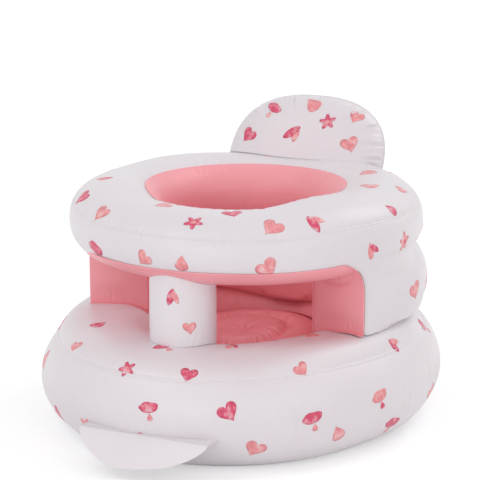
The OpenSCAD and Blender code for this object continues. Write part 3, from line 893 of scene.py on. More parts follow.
def pad_skin(p):
    """Seat pad: rings of the oval, with a superellipse dome, an oval weld channel, a tuft in the middle and
    folds beside both and at the rim."""
    turn = np.linspace(0, 2 * math.pi, 300, endpoint=False)
    x, y = oval(p, turn, p.base_out + p.base_in + PAD_GAP)
    share, first = np.concatenate([PAD_UNDER, PAD_OVER]), len(PAD_UNDER)
    ring = np.arange(len(share))
    low = FLOOR_TOP + 60 * np.clip((share - 0.86) / 0.14, 0, 1) ** 3
    z = np.where(ring < first, low, pad_dome(p, share))
    z[first], z[first + 1] = p.base_mid - 6, p.base_mid
    grid = np.stack([x[:, None] * share, y[:, None] * share, np.broadcast_to(z, (len(turn), len(share)))], -1)
    radius = np.hypot(x, y)[:, None]
    along = run_length(np.stack([np.append(x, x[0]), np.append(y, y[0])], -1)) * PAD_CHANNEL
    around, total = along[:-1, None], along[-1]
    away, centre = (share - PAD_CHANNEL)[None, :] * radius, share[None, :] * radius
    dip = -9.0 * np.exp(-np.abs(away / 8.5) ** 1.6) + 0.8 * bell(away / 1.4)
    dip += folds(around, away, total, "pad_channel")
    tuft = folds(turn[:, None] * TUFT_R, centre, 2 * math.pi * TUFT_R, "pad_tuft") * ease(centre, 2, 9)
    dip += -8.0 * np.exp(-np.abs(centre / 13) ** 1.5) + tuft
    dip += folds(around, (1 - share)[None, :] * radius, total, "pad_rim")
    grid[..., 2] += dip * (ring > first + 4)
    return grid


class FLOORSEAT_OT_seat_pad(bpy.types.Operator):
    """Builds the pad that the baby sits on"""

    bl_idname = "floor_seat.seat_pad"
    bl_label = "Seat Pad"

    def execute(self, context):
        pad = lofted_piece("seat_pad_cushion", pad_skin(plan()), PINK, replaces=["seat_pad"])
        return {"FINISHED"}


# ---------------------------------------------------------------- arm ring


# Points round the arm ring's section, and rows round the ring
RING_COLUMNS, RING_ROWS = 68, 600
# The rear wall's film laps the ring below these heights and behind these turns
LAP_Z, LAP_TURN = (279, 292), np.radians((48, 54))
# Span of the ring's section that the tie covers, and how far the tie stands off it
TIE_SPAN = np.radians((227, 309))
TIE_LIFT = 0.45


def liner_seam_angle(p):
    """Angle on the arm ring's section of the seam where its white film meets the liners."""
    return math.pi - math.acos((LINER_SEAM_IN / p.ring_half_w) ** (TUBE_POWER / 2))


def arch_edge_angle(p):
    """Angle on the arm ring's section of the seam along the top of the leg arches."""
    return section_angle(p.arch_top - p.ring_z, p.ring_half_h) % (2 * math.pi)


def ring_skin(p):
    """Arm ring: a superellipse section carried round, thinner over the arches, with the welds of its outside
    and of its liner. It is plain where liners or the rear wall lie on it."""
    outer = section_angle(p.ring_half_h - RING_SEAM_DROP, p.ring_half_h)
    inner, edge = liner_seam_angle(p), arch_edge_angle(p)
    angles = tube_angles(RING_COLUMNS, [outer, inner])
    turn = np.linspace(-math.pi, math.pi, RING_ROWS, endpoint=False)[:, None]
    r, up = p.ring_r + p.ring_half_w * rounded(np.cos(angles)), rounded(np.sin(angles))
    z = ring_middle(p, turn) + ring_half(p, turn) * up
    points = upper(p, turn, r[None, :], z)
    run = run_length(np.stack([r, p.ring_half_h * up], -1))
    height = np.zeros(z.shape)
    for seam, weld in ((outer, "ring_outer"), (inner, "ring_liner")):
        away = from_seam(run, angles, seam)
        at_r = p.ring_r + p.ring_half_w * rounded(math.cos(seam))
        height += weld_line(away)
        height += folds((turn + math.pi) * at_r, away, 2 * math.pi * at_r, weld)
    height += swell(points, "ring")
    lined = hump(angles, (inner - 0.03, inner + 0.02), (edge - 0.07, edge))
    lapped = (1 - ease(z, *LAP_Z)) * ease(np.abs(turn), *LAP_TURN)
    height *= (1 - lined)[None, :] * (1 - lapped)
    return points + normals(points, True, True) * height[..., None], angles


class FLOORSEAT_OT_arm_ring(bpy.types.Operator):
    """Builds the arm ring and its print, and the skin that ties the rear wall to it"""

    bl_idname = "floor_seat.arm_ring"
    bl_label = "Arm Ring"

    def execute(self, context):
        p = plan()
        points, angles = ring_skin(p)
        tube_piece("arm_ring_film", points, WHITE, replaces=["top_ring"])
        film, at = outer_film(points, angles)
        rows = len(points)
        kinds = [CLOUD, HEART, LEAF, DROP, HEART, BLOOM]
        # The low band runs over the leg arches only, because the rear wall covers the rest
        places = scatter(rows, [(at(350), 4)], kinds, p.print_size, 8, start=0.365, turns=0.27)
        places += scatter(rows, [(at(46), 13), (at(88), 10)], kinds, p.print_size, 9)
        print_piece("arm_ring_print", film, apart(film, places), 22)
        self.tie(p)
        return {"FINISHED"}

    def tie(self, p):
        """Skin on the ring's underside, where the rear wall is welded to it."""
        angle = np.linspace(*TIE_SPAN, 26)
        turn = np.linspace(ARCH_ANGLE + 0.01, 2 * math.pi - ARCH_ANGLE - 0.01, 180)[:, None]
        r = p.ring_r + (p.ring_half_w + TIE_LIFT) * rounded(np.cos(angle))
        z = p.ring_z + (p.ring_half_h + TIE_LIFT) * rounded(np.sin(angle))
        points = upper(p, turn, r[None, :], z[None, :])
        film_piece("wall_tie_film", points, WHITE, replaces=["wall_tie_strip"], thick=0.3)


# ---------------------------------------------------------------- rear wall


# Top edge and rounded corner of the left leg arch at the wall. The arm ring hangs lower over it than on
# the right.
LEFT_TOP, LEFT_CORNER_R = 224, 22
# Radii at which an arch's corner is measured on the wall and on the gusset, and the wall's folds are counted
CORNER_AT_R, JAMB_AT_R, WALL_RUN_R = 232.7, 226, 232
# Nominal height of the wall's foot. settled() moves it onto the base.
FOOT = 141.5
# Radii of the wall's outer and inner film at the leg arches, where both run straight down to the base
JAMB_OUT = {1: 223.5, -1: 210.0}
JAMB_IN = 133
# Turns over which the straight run beside the arches, its upper corner and the wide bridge to the ring fade
ARCH_FADE, CORNER_FADE, BRIDGE_FADE = np.radians((64, 106)), np.radians((62, 84)), np.radians((70, 112))
# Width of the film's bridge from ring to wall at the rear, and how much wider it is beside the arches
BRIDGE_REAR, BRIDGE_MORE = 9, 75
# How far the outer film stands off the ring, and how far over the ring's middle its top edge runs
OUTER_LIFT, LAP = 0.4, 16
# Height of the groove between ring and wall, and the turns over which its folds set in
GROOVE_Z, GROOVE_FADE = 234.0, np.radians((80, 108))
# Rows round the wall, columns along its foot, and the run across a gusset along which its folds are counted
WALL_ROWS, SOLE_COLUMNS, JAMB_RUN = 520, 14, 120


def corner_of(p, side):
    """Height of an arch's top edge at the wall, and the radius of its upper corner."""
    return (p.arch_top, p.arch_corner_r) if side > 0 else (LEFT_TOP, LEFT_CORNER_R)


def arch_reach(p, z, side):
    """How far the wall reaches forward past the jamb at a height: the arch's rounded upper corner."""
    top, r = corner_of(p, side)
    up = np.clip(z - (top - r), 0, r)
    return r - np.sqrt(r * r - up * up)


def corner_turn(p, side):
    """Turn at which the arch's upper corner meets its top edge."""
    return ARCH_ANGLE - math.asin(corner_of(p, side)[1] / CORNER_AT_R)


def wall_foot(p, turn, r):
    """Height at which the rear wall rests on the base."""
    at = upper(p, turn, r, 0.0)
    return base_top(p, at[..., 0], at[..., 1]) + FILM_GAP


def settled(p, turn, r, z):
    """Heights of a film that stands on the base: its foot goes onto the base's skin, and the shift fades
    over 35 mm above."""
    foot = wall_foot(p, turn, r)
    return np.maximum(z + (foot - FOOT) * (1 - ease(z, FOOT, FOOT + 35)), foot)


def beside_arch(turn):
    """1 at the rear edges of the leg arches, fading to 0 behind them."""
    return 1 - ease(np.abs(turn), *ARCH_FADE)


def bridge(turn):
    """How wide the film bridges the groove between ring and wall: wide beside the arches, narrow at the
    rear."""
    away = np.minimum(np.abs(turn), 2 * math.pi - np.abs(turn))
    return BRIDGE_REAR + BRIDGE_MORE * (1 - ease(away, *BRIDGE_FADE))


def outer_line(p, turn, z):
    """Radius of the white outer film at a height: ring and wall joined, laid just off the ring, and drawn
    under its skin towards the top edge."""
    low, high = ring_middle(p, turn) - ring_half(p, turn), p.wall_z + p.wall_half_h
    drop = OUTER_LIFT - ease(z, p.ring_z - 6, p.ring_z + LAP)
    ring = np.where(z < low, p.ring_r, ring_side(p, np.maximum(z, low), turn, 1) + drop)
    wall = np.where(z < high, wall_side(p, np.minimum(z, high), 1), p.wall_r)
    line = joined(ring, wall, bridge(turn) * (1 - ease(z, p.ring_z - 8, p.ring_z + 10)) + 0.5)
    out, top = JAMB_OUT[1], p.arch_top
    right = out + (ring_side(p, top, turn, 1) + OUTER_LIFT - out) * ease(z, top - 50, top)
    straight = np.where(turn > 0, np.where(z < top, right, ring), joined(ring, JAMB_OUT[-1], 5))
    above = ease(z, top - 8, top + 14)
    at_corner = 1 - ease(np.abs(turn), *CORNER_FADE)
    return line + (straight - line) * np.maximum(beside_arch(turn) * (1 - above), at_corner * above)


def inner_line(p, turn, z):
    """Radius of the rear wall's inner side at a height: its round section, drawn straight beside the leg
    arches."""
    line = wall_side(p, np.clip(z, 0, p.wall_z + p.wall_half_h * 0.93), -1)
    return line + (JAMB_IN - line) * beside_arch(turn) * (1 - ease(z, p.arch_top - 30, p.arch_top))


def wall_section(p):
    """The wall's section in three runs: heights up the outer film, radii and heights back under the arm
    ring, just under its skin, and heights down the inner side."""
    z_out = FOOT + (p.ring_z + LAP - FOOT) * np.linspace(0, 1, 84)
    back = np.linspace(section_angle(LAP, p.ring_half_h), -math.pi / 2 - 0.62, 46)[1:]
    under = 0.35 - 1.6 * ease(back, section_angle(-31, p.ring_half_h), section_angle(-24, p.ring_half_h))
    r_back = p.ring_r + (p.ring_half_w + under) * rounded(np.cos(back))
    z_back = p.ring_z + (p.ring_half_h + under) * rounded(np.sin(back))
    return z_out, r_back, z_back, np.linspace(z_back[-1] - 1.5, FOOT, 34)


def wall_relief(p, turn, signed, from_end, points):
    """Relief of the wall's outer film: folds at its groove and its foot, slow waves, and the welds along its
    foot and its two ends. from_end is the distance from the nearer end."""
    z = points[..., 2]
    run, total = (turn - ARCH_ANGLE) * WALL_RUN_R, 2 * math.pi * WALL_RUN_R
    height = folds(run, (z - GROOVE_Z) * 1.15, total, "wall_groove")
    height *= ease(np.abs(signed), *GROOVE_FADE)
    height += folds(run, z - FOOT - 3, total, "wall_foot")
    height += swell(points, "wall") * ease(z, FOOT, FOOT + 14)
    height *= 1 - ease(z, p.ring_z - 18, p.ring_z + 4)
    corner = np.where(signed > 0, p.arch_top, LEFT_TOP)
    height += weld_line(from_end - 4) * (1 - ease(z, corner - 14, corner - 4)) + 0.6 * weld_line(z - FOOT - 5)
    return height - 0.9 * (1 - ease(from_end, 0, 40)) * ease(z, corner - 10, corner + 2)


def wall_skin(p):
    """Rear wall: a closed section carried from one leg arch to the other. It runs up the outer film, back
    under the arm ring, down the inner side and along the base. The outer film's columns come first, and
    their number is given too."""
    z_out, r_back, z_back, z_in = wall_section(p)
    n_out, n_over = len(z_out), len(z_out) + len(z_back)
    level = np.concatenate([z_out, z_back, z_in])
    reaches = [arch_reach(p, level, side) / CORNER_AT_R for side in (1, -1)]
    right, left = (ARCH_ANGLE - np.arcsin(reach)[None, :] for reach in reaches)
    # Rows from end to end, a little closer together near both ends
    crowded = 0.5 - 0.5 * np.cos(np.linspace(0, math.pi, WALL_ROWS))
    share = crowded * 0.25 + np.linspace(0, 1, WALL_ROWS) * 0.75
    turn = right + (2 * math.pi - right - left) * share[:, None]
    signed = np.where(turn > math.pi, turn - 2 * math.pi, turn)
    z = np.broadcast_to(level, turn.shape)
    r = np.empty(turn.shape)
    r[:, :n_out] = outer_line(p, signed[:, :n_out], z[:, :n_out])
    r[:, n_out:n_over] = r_back
    r[:, n_over:] = inner_line(p, signed[:, n_over:], z_in[None, :])
    from_end = np.minimum(turn - right, 2 * math.pi - left - turn) * WALL_RUN_R
    height = wall_relief(p, turn, signed, from_end, upper(p, turn, r, z))
    r = r + height * (np.arange(len(level)) < n_out)[None, :]
    points = upper(p, turn, r, settled(p, turn, r, z))
    k = (np.arange(1, SOLE_COLUMNS + 1) / (SOLE_COLUMNS + 1))[None, :, None]
    sole = points[:, -1:] * (1 - k) + points[:, :1] * k
    sole[..., 2] = base_top(p, sole[..., 0], sole[..., 1]) + FILM_GAP
    return np.concatenate([points, sole], axis=1), n_out


def jamb_creases(z, b, name):
    """Creases of a gusset at a height and a share of the way across it: folds at its top and its foot, and
    one bowed fold with a ridge over it."""
    fade = np.sin(math.pi * b) ** 0.5
    crease = folds(b * JAMB_RUN, z - 238, 400, name + "_top") * fade
    crease += folds(b * JAMB_RUN, z - 143, 400, name + "_foot") * fade
    arc = z - 205 - 60 * (b - 0.62) ** 2
    across = hump(b, (0.12, 0.4), (0.78, 0.97))
    crease += (1.8 * bell((arc - 6) / 4.5) - 3.2 * bell(arc / 2.4)) * across
    return crease * ease(z, 143, 150)


def jamb_skin(p, side, name):
    """Gusset at a leg arch: a film from the wall's outer edge to its inner one, up the jamb and round the
    corner, bulged by the air behind it and creased. Its flange lies on the base before the jamb's foot."""
    flange = np.linspace(6.5, 0, 8)[:-1]
    top, r = corner_of(p, side)
    straight = np.linspace(FOOT, top - r, 44)[:-1]
    corner = top - r + r * np.sin(np.linspace(0, math.pi / 2, 46))
    level = np.concatenate([np.full(len(flange), FOOT), straight, corner])
    ahead = np.concatenate([flange, np.zeros(len(straight) + len(corner))])[:, None]
    b = np.linspace(0, 1, 60)[None, :]
    z = level[:, None] + 0 * b
    at_turn = ARCH_ANGLE - np.arcsin(arch_reach(p, z, side) / JAMB_AT_R)
    outer = outer_line(p, side * at_turn, z) + 0.3 - 0.9 * ease(z, top - 10, top + 2)
    inner = inner_line(p, at_turn, z) - 0.4
    r = outer + (inner - outer) * b
    bulge = 3.5 * hump(z, (150, 175), (205, 240)) * np.sin(math.pi * b) ** 0.8
    forward = arch_reach(p, z, side) + 0.5 + bulge + jamb_creases(z, b, name) + ahead
    turn = ARCH_ANGLE - np.arcsin(np.clip(forward / r, -1, 1))
    on_base = wall_foot(p, side * turn, r) + 0.3 + 0.7 * bell((ahead - 4.5) / 0.9)
    z = np.where(ahead > 0, on_base, settled(p, side * turn, r, z) + 0.3)
    points = keep_off(upper(p, turn, r, z), p, 0.5)
    points[..., 0] *= side
    return points


class FLOORSEAT_OT_rear_wall(bpy.types.Operator):
    """Builds the rear wall with its print, and the gussets at the leg arches"""

    bl_idname = "floor_seat.rear_wall"
    bl_label = "Rear Wall"

    def execute(self, context):
        p, valve = plan(), valve_place("wall")
        points, n_out = wall_skin(p)
        points = seat_valve(points, valve)
        whole = np.concatenate([self.tucked(p, points[14], 1), points, self.tucked(p, points[-15], -1)])
        cut_pocket(capped_piece("rear_wall_film", whole, WHITE, replaces=["rear_wall"]), valve)
        film = Film(points, False)
        kinds = [HEART, LEAF, CLOUD, DROP, BLOOM]
        places = scatter(WALL_ROWS, [(n_out * 0.30, 12), (n_out * 0.80, 11)], kinds, p.print_size, 14)
        places = [place for place in places if 0.045 < place[0] / WALL_ROWS < 0.955]
        print_piece("rear_wall_print", film, apart(film, places, clear=[valve[0]]), 23)
        self.jambs(p)
        return {"FINISHED"}

    def tucked(self, p, section, side):
        """A section of the wall, drawn in about its middle and set a little behind a leg arch."""
        line = np.stack([np.hypot(section[:, 0], section[:, 1] - p.upper_y), section[:, 2]], -1)
        line = line.mean(axis=0) + 0.85 * (line - line.mean(axis=0))
        return upper(p, side * (ARCH_ANGLE + 0.1), line[:, 0], line[:, 1])[None]

    def jambs(self, p):
        """Pink films over the two ends of the wall."""
        for side, name in ((1, "right_jamb"), (-1, "left_jamb")):
            grid = jamb_skin(p, side, name)[:, ::side]
            film_piece(name + "_film", grid, PINK, replaces=[name + "_gusset"])


# ---------------------------------------------------------------- liners


# Radii at which the folds of the liners, and those along the arches' top edge, are counted round
LINER_R, EDGE_R = 125, 220
# Height of the groove between ring and wall on their inside
LINER_GROOVE_Z = 233.0
# How far a liner stands off the skin under it, and how far it sinks under the next film past its edge
LINER_LIFT, LINER_TUCK = 0.75, 1.9
# On the left the front liner's outer edge draws back on the ring's section, over these turns
LEFT_DRAW, LEFT_FADE = math.radians(36), np.radians((26, 62))
# Width of the corner that the apron fills between the base's shoulder and the pad
APRON_BLEND = 70


class FLOORSEAT_OT_liners(bpy.types.Operator):
    """Builds the pink films inside the arm ring and the rear wall, and over the leg arches"""

    bl_idname = "floor_seat.liners"
    bl_label = "Liners"

    def execute(self, context):
        p = plan()
        film_piece("front_liner_film", self.front(p), PINK, replaces=["front_liner"])
        film_piece("rear_liner_film", self.rear(p), PINK, replaces=["rear_liner"])
        return {"FINISHED"}

    def front(self, p):
        """Lies on the arm ring's section from its inner seam, down and under the ring, to the arches' top
        edge. Folds run in from both seams."""
        turn = np.linspace(-ARCH_ANGLE - 0.02, ARCH_ANGLE + 0.02, 260)[:, None]
        angle = np.linspace(liner_seam_angle(p), arch_edge_angle(p), 96)
        c, s = rounded(np.cos(angle)), rounded(np.sin(angle))
        run = run_length(np.stack([p.ring_half_w * c, p.ring_half_h * s], -1))[None, :]
        to_edge, end = run[:, -1:] - run, run[0, -1]
        lift = folds((turn + math.pi) * LINER_R, run, 2 * math.pi * LINER_R, "liner_top")
        lift += folds((turn + math.pi) * EDGE_R, to_edge, 2 * math.pi * EDGE_R, "arch_edge")
        lift *= 1 - ease(np.abs(turn), ARCH_ANGLE - 0.12, ARCH_ANGLE - 0.02)
        beads = bell((run - 2.5) / 1.5) + bell((to_edge - 3) / 1.2)
        lift = LINER_LIFT + np.maximum(lift, -0.3) + 0.5 * beads
        corner = np.where(turn > 0, corner_turn(p, 1), corner_turn(p, -1))
        past = ease(np.abs(turn), corner - 0.01, corner + 0.014) * ease(run, end - 40, end - 12)
        left_edge = np.interp(angle[-1] - LEFT_DRAW * ease(-turn, *LEFT_FADE), angle, run[0])
        lift -= LINER_TUCK * np.maximum(past, ease(run, left_edge, left_edge + 4))
        r = p.ring_r + (p.ring_half_w + lift) * c
        return upper(p, turn, r, ring_middle(p, turn) + (ring_half(p, turn) + lift) * s)

    def rear(self, p):
        """Runs down the inside of the arm ring and the rear wall to the base: the smaller of their two radii
        at each height. Its apron carries on over the base."""
        turn = np.linspace(ARCH_ANGLE - 0.02, 2 * math.pi - ARCH_ANGLE + 0.02, 380)[:, None]
        signed = np.where(turn > math.pi, turn - 2 * math.pi, turn)
        top = p.ring_z + rise(LINER_SEAM_IN, p.ring_half_w, p.ring_half_h)
        z = FOOT + (top - FOOT) * np.sin(np.linspace(0, 1, 96)[None, :] * math.pi / 2) ** 1.15
        low, high = p.ring_z - p.ring_half_h, p.wall_z + p.wall_half_h
        ring = np.where(z > low + 0.5, ring_side(p, np.maximum(z, low), signed, -1), p.ring_r)
        wall = np.where(z < high - 0.5, wall_side(p, np.minimum(z, high), -1), p.wall_r)
        wall = wall + (JAMB_IN - wall) * beside_arch(signed) * (1 - ease(z, p.arch_top - 40, p.arch_top - 10))
        along, total = (turn - math.pi) * LINER_R, 2 * math.pi * LINER_R
        height = folds(along, (z - LINER_GROOVE_Z) * 1.1, total, "liner_groove")
        height += folds(along, top - z, total, "liner_top")
        height *= ease(np.abs(signed), ARCH_ANGLE, ARCH_ANGLE + 0.12)
        r = -joined(-ring, -wall, 9.0) - LINER_LIFT - np.maximum(height, -0.45)
        z = settled(p, turn, r, z + 0 * r) + 0.3
        apron_r, apron_z = self.apron(p, turn, r[:, :1])
        r, z = np.concatenate([apron_r, r], axis=1), np.concatenate([apron_z, z], axis=1)
        return upper(p, turn, r, z)[:, ::-1]

    def apron(self, p, turn, foot_r):
        """The liner's lower end: from the wall's foot down the base's shoulder and onto the pad's rim."""
        trial = np.linspace(50, 170, 241)[None, :]
        at = upper(p, turn, trial, 0.0)
        on_base = base_away(p, at[..., 0], at[..., 1]) > -p.base_in - 7
        edge = trial[0, np.argmax(on_base, axis=1)][:, None]
        share = np.linspace(1, 0, 34)[None, :]
        r = foot_r - 1.2 + (edge - foot_r + 1.2) * share
        at = upper(p, turn, r, 0.0)
        crease = folds((turn - math.pi) * LINER_R, share * 40, 2 * math.pi * LINER_R, "apron")
        shoulder = base_top(p, at[..., 0], at[..., 1])
        z = joined(shoulder, pad_top(p, at[..., 0], at[..., 1]) + 1.0, APRON_BLEND)
        return r, z + 0.7 + np.clip(crease, -0.3, 2) * hump(share, (0.02, 0.3), (0.7, 0.9))


# ---------------------------------------------------------------- front post


# The post's motifs: row and column of its grid, kind and size
POST_PRINT = ((104, 56, LEAF, 20), (122, 22, HEART, 17), (30, 34, BLOOM, 19), (168, 44, HEART, 18))
# How far under the arm ring's own skin the post ends, at its liner, and how far its two ends are drawn in
POST_UNDER, POST_IN = 1.1, 0.4


class FLOORSEAT_OT_front_post(bpy.types.Operator):
    """Builds the round post between the leg arches, with its print"""

    bl_idname = "floor_seat.front_post"
    bl_label = "Front Post"

    def execute(self, context):
        p = plan()
        turn = np.linspace(-math.pi, math.pi, 200, endpoint=False)[:, None]
        t = np.linspace(0, 1, 80)[None, :]
        middle_y = p.upper_y - p.post_reach
        x, y = p.post_r * np.sin(turn), middle_y - p.post_r * np.cos(turn)
        low, high = base_top(p, x, y) + FILM_GAP, ring_height(p, x, y, -1) - POST_UNDER
        z = low + (high - low) * t
        around, total = (turn + math.pi) * p.post_r, 2 * math.pi * p.post_r
        wide = p.post_r + 0.5 * (np.sin(math.pi * t) ** 0.5) - POST_IN
        wide = wide + folds(around, z - low, total, "post_foot") * ease(t, 0.01, 0.05)
        wide = wide + folds(around, high - z, total, "post_top") * ease(1 - t, 0.01, 0.05)
        points = np.stack([wide * np.sin(turn), middle_y - wide * np.cos(turn), z], -1)
        lofted_piece("front_post_film", points, WHITE, replaces=["front_post"])
        print_piece("front_post_print", Film(points, True), POST_PRINT, 24)
        return {"FINISHED"}


# ---------------------------------------------------------------- backrest

# How far behind the arm ring's crown line and how far under its crown the backrest starts
BACK_SET, BACK_SINK = 10, 18
# How far its foot runs down behind the ring, and the height, up the backrest, at which it is widest
BACK_FOOT, BACK_WIDEST = 26, 8
# Powers of the superellipse that thins it towards its rim, and half the thickness that it keeps there
THIN_POWERS, RIM_T = (2.5, 2.2), 0.35
# Places of the backrest's motifs: across, up its lean, and on its front (1) or rear (-1) face
BACK_PRINT = (
    (-86, 34, 1), (-52, 78, 1), (-14, 40, 1), (8, 88, 1), (38, 58, 1), (78, 30, 1), (76, 74, 1),
    (-80, 48, -1), (-40, 20, -1), (-32, 82, -1), (34, 86, -1), (44, 24, -1), (82, 52, -1),
)


def back_outline(p, turn):
    """Rim of the backrest about its widest place: a rounded superellipse above it, and a squarer and shorter
    one below, behind the arm ring."""
    c, s = np.cos(turn), np.sin(turn)
    half = np.where(s > 0, p.back_len - BACK_WIDEST, BACK_FOOT + BACK_WIDEST)
    power = np.where(s > 0, 2.5, 4.0)
    r = (np.abs(c) ** power + np.abs(s) ** power) ** (-1 / power)
    return p.back_w / 2 * r * c, half * r * s


def back_place(p, x, up, out):
    """Point of the backrest: up along its lean and out from its middle plane, kept on the arm ring's skin."""
    y = p.upper_y + p.ring_r + BACK_SET + out * math.cos(BACK_LEAN) + up * math.sin(BACK_LEAN)
    z = p.ring_h - BACK_SINK - out * math.sin(BACK_LEAN) + up * math.cos(BACK_LEAN)
    return np.stack([x, y, np.maximum(z, ring_height(p, x, y, 1) + 0.6)], -1)


def back_shares():
    """Shares of the way from the backrest's middle to its rim, closer together near the rim."""
    return np.linspace(0.004, 1, 60) ** 0.8


def back_skin(p):
    """Backrest: two faces of a pillow that meet in a welded rim. Its half thickness falls off as a
    superellipse towards the rim, and folds run in from the rim."""
    turn = np.linspace(0, 2 * math.pi, 420, endpoint=False)[:, None]
    q = back_shares()[None, :]
    ox, ou = back_outline(p, turn)
    radius = np.hypot(ox, ou)
    rim = np.concatenate([ox, ou], axis=1)
    along = run_length(np.concatenate([rim, rim[:1]]))
    away = (1 - q) * radius
    dome = p.back_t / 2 * (1 - q ** THIN_POWERS[0]) ** (1 / THIN_POWERS[1])

    def face(side, weld):
        thick = dome + folds(along[:-1, None], away, along[-1], weld) * ease(away, 0.2, 3.0)
        thick = np.where(q >= 1, RIM_T, np.maximum(thick - bell((away - 2.5) / 3.0), RIM_T))
        return back_place(p, ox * q, BACK_WIDEST + ou * q, side * thick)

    def flange(side, out):
        grow = 1 + out / radius
        return back_place(p, ox * grow, BACK_WIDEST + ou * grow, side * np.full(ox.shape, 0.3))

    rings = [flange(-1, 0.8), flange(-1, 1.6), flange(1, 1.6), flange(1, 0.8)]
    return np.concatenate([face(-1, "back_front"), *rings, face(1, "back_rear")[:, ::-1]], axis=1)


class BackFace:
    """One face of the backrest as a film: a place is its distance across and up the face, and is turned into
    the rim's angle and the share of the way out to the rim."""

    def __init__(self, p, film, face):
        self.p, self.film, self.face = p, film, face

    def lay(self, row, column, x, y, lift):
        """Points x across and y up the face from a place on it, lifted off it."""
        rows, columns = self.film.points.shape[:2]
        ox, ou = (row + x) * self.face, column + y - BACK_WIDEST
        rim = np.linspace(0, 2 * math.pi, rows, endpoint=False)
        edge_x, edge_u = back_outline(self.p, rim)
        along = np.unwrap(np.arctan2(edge_u, edge_x))
        angle = np.arctan2(ou, ox) % (2 * math.pi)
        u = np.interp(angle, along, np.arange(rows), period=2 * math.pi)
        reach = np.interp(angle, along, np.hypot(edge_x, edge_u), period=2 * math.pi)
        q = back_shares()
        v = np.interp(np.hypot(ox, ou) / reach, q, np.arange(len(q)))
        if self.face < 0:
            v = columns - 1 - v
        return self.film.at(rows - 1 - u, v, lift)


class FLOORSEAT_OT_backrest(bpy.types.Operator):
    """Builds the backrest pillow and its print"""

    bl_idname = "floor_seat.backrest"
    bl_label = "Backrest"

    def execute(self, context):
        p, valve = plan(), valve_place("back", BACK_LEAN)
        points = seat_valve(back_skin(p), valve)
        back = lofted_piece("backrest_pillow", points, WHITE, flipped=True, replaces=["backrest"])
        cut_pocket(back, valve)
        skin = Film(points[::-1], True)
        kinds = [HEART, CLOUD, LEAF, DROP, BLOOM, HEART]
        chance = np.random.default_rng(17)
        places = {1: [], -1: []}
        for k, (x, up, face) in enumerate(BACK_PRINT):
            x, up = x + chance.uniform(-4, 4), up + chance.uniform(-3, 3)
            size = p.print_size * chance.uniform(0.75, 1.15)
            places[face].append((x * face, up, kinds[k % len(kinds)], size))
        for name, face in (("backrest_print", 1), ("backrest_rear_print", -1)):
            print_piece(name, BackFace(p, skin, face), places[face], 25)
        return {"FINISHED"}


# ---------------------------------------------------------------- front tab


# Height of the weld that holds the tab, roundness of its outline, and how its droop grows along it
TAB_Z, TAB_POWER, DROOP_POWER = 50.45, 1.8, 1.15
# How much of the tab's left corner is cut away at its fold
TAB_CUT = 19.0
# How far before the base's front the hem ends and the free tab begins, and the thickness of their film
HEM_OUT, TAB_OUT, TAB_T = 2.05, 2.45, 0.4


class FLOORSEAT_OT_front_tab(bpy.types.Operator):
    """Builds the welded hem at the front and the loose tab on it"""

    bl_idname = "floor_seat.front_tab"
    bl_label = "Front Tab"

    def execute(self, context):
        p = plan()
        self.hem(p)
        self.free(p)
        return {"FINISHED"}

    def hem(self, p):
        """Strip from the fold back to the base's own skin, at the weld's height."""
        s = np.linspace(-1, 1, 120)[:, None]
        t = np.linspace(0, 1, 14)[None, :]
        x = s * p.tab_w / 2 + (1 - s) / 2 * TAB_CUT
        fold_y = -p.base_d / 2 - HEM_OUT
        reach = p.base_out - rise(TAB_Z - p.base_mid, p.base_half_h, p.base_out) + 1.2
        back_y = -p.end_shift - np.sqrt((p.base_end_r - reach) ** 2 - x**2)
        y = fold_y + (back_y - fold_y) * t
        z = TAB_Z + 0.5 * np.sin(x / 9.0) * np.sin(math.pi * t) * ease(t, 0.1, 0.5)
        film_piece("tab_hem_film", np.stack([x + 0 * t, y, z], -1), WHITE, replaces=["tab_root"], thick=TAB_T)

    def free(self, p):
        """Loose tab: a strip that droops from the fold, inside a superellipse outline, with a low wave across
        it."""
        t = 1 - (1 - np.linspace(0, 1, 46)[:, None]) ** 1.8
        s = np.sin(np.linspace(-math.pi / 2, math.pi / 2, 110))[None, :]
        half = p.tab_w / 2 * np.maximum(1 - t**TAB_POWER, 0.0004) ** (1 / TAB_POWER)
        left_out = TAB_CUT * (1 - t**3)
        reach, droop = p.tab_reach * t, p.tab_droop * t**DROOP_POWER
        x = s * half + (1 - s) / 2 * left_out
        y = -p.base_d / 2 - TAB_OUT - reach + 0 * x
        wave = 1.2 * np.sin(x / 31 + 0.6) * t**1.2 + 0.5 * np.sin(x / 12.0) * t
        grid = np.stack([x, y, TAB_Z - droop + wave], -1)[::-1]
        tab = film_piece("front_tab_film", grid, WHITE, replaces=["front_tab"], body="front_tab", thick=TAB_T)


# ---------------------------------------------------------------- valves


class FLOORSEAT_OT_valves(bpy.types.Operator):
    """Gives the moulded valves their clear vinyl"""

    bl_idname = "floor_seat.valves"
    bl_label = "Air Valves"

    def execute(self, context):
        for name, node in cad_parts.items():
            if "_valve_" in name:
                node.data.materials.clear()
                node.data.materials.append(finish_of("clear_vinyl"))
        return {"FINISHED"}


# ---------------------------------------------------------------- floor, light and camera

# The camera: its turn round the object, its height, how far it stands off, and where its target lands
CAMERA_TURN, CAMERA_RISE = math.radians(26.2888), math.radians(14.0303)
CAMERA_FAR = 2.7675
CAMERA_TARGET = Vector((0, 0.0063, 0.18))
FOCAL_PIXELS = 2067.4
TARGET_PIXEL = (245.54, 278.45)
PICTURE = 480
SENSOR = 36
# Strength of the even light, and how strongly the floor shows the shadows on it
SKY, FLOOR_SHADE = 0.635, 0.75
# Light that the floor gives off beside the object. It grows between two distances from the middle, so that
# the floor ends in plain white.
FLOOR_GLOW, GLOW_NEAR, GLOW_FAR = 0.41, 0.4, 1.5
# Half the floor's side, and what the lamps are turned to
FLOOR_HALF = 60.0
LAMP_AIM = Vector((0, 0, 0.15))
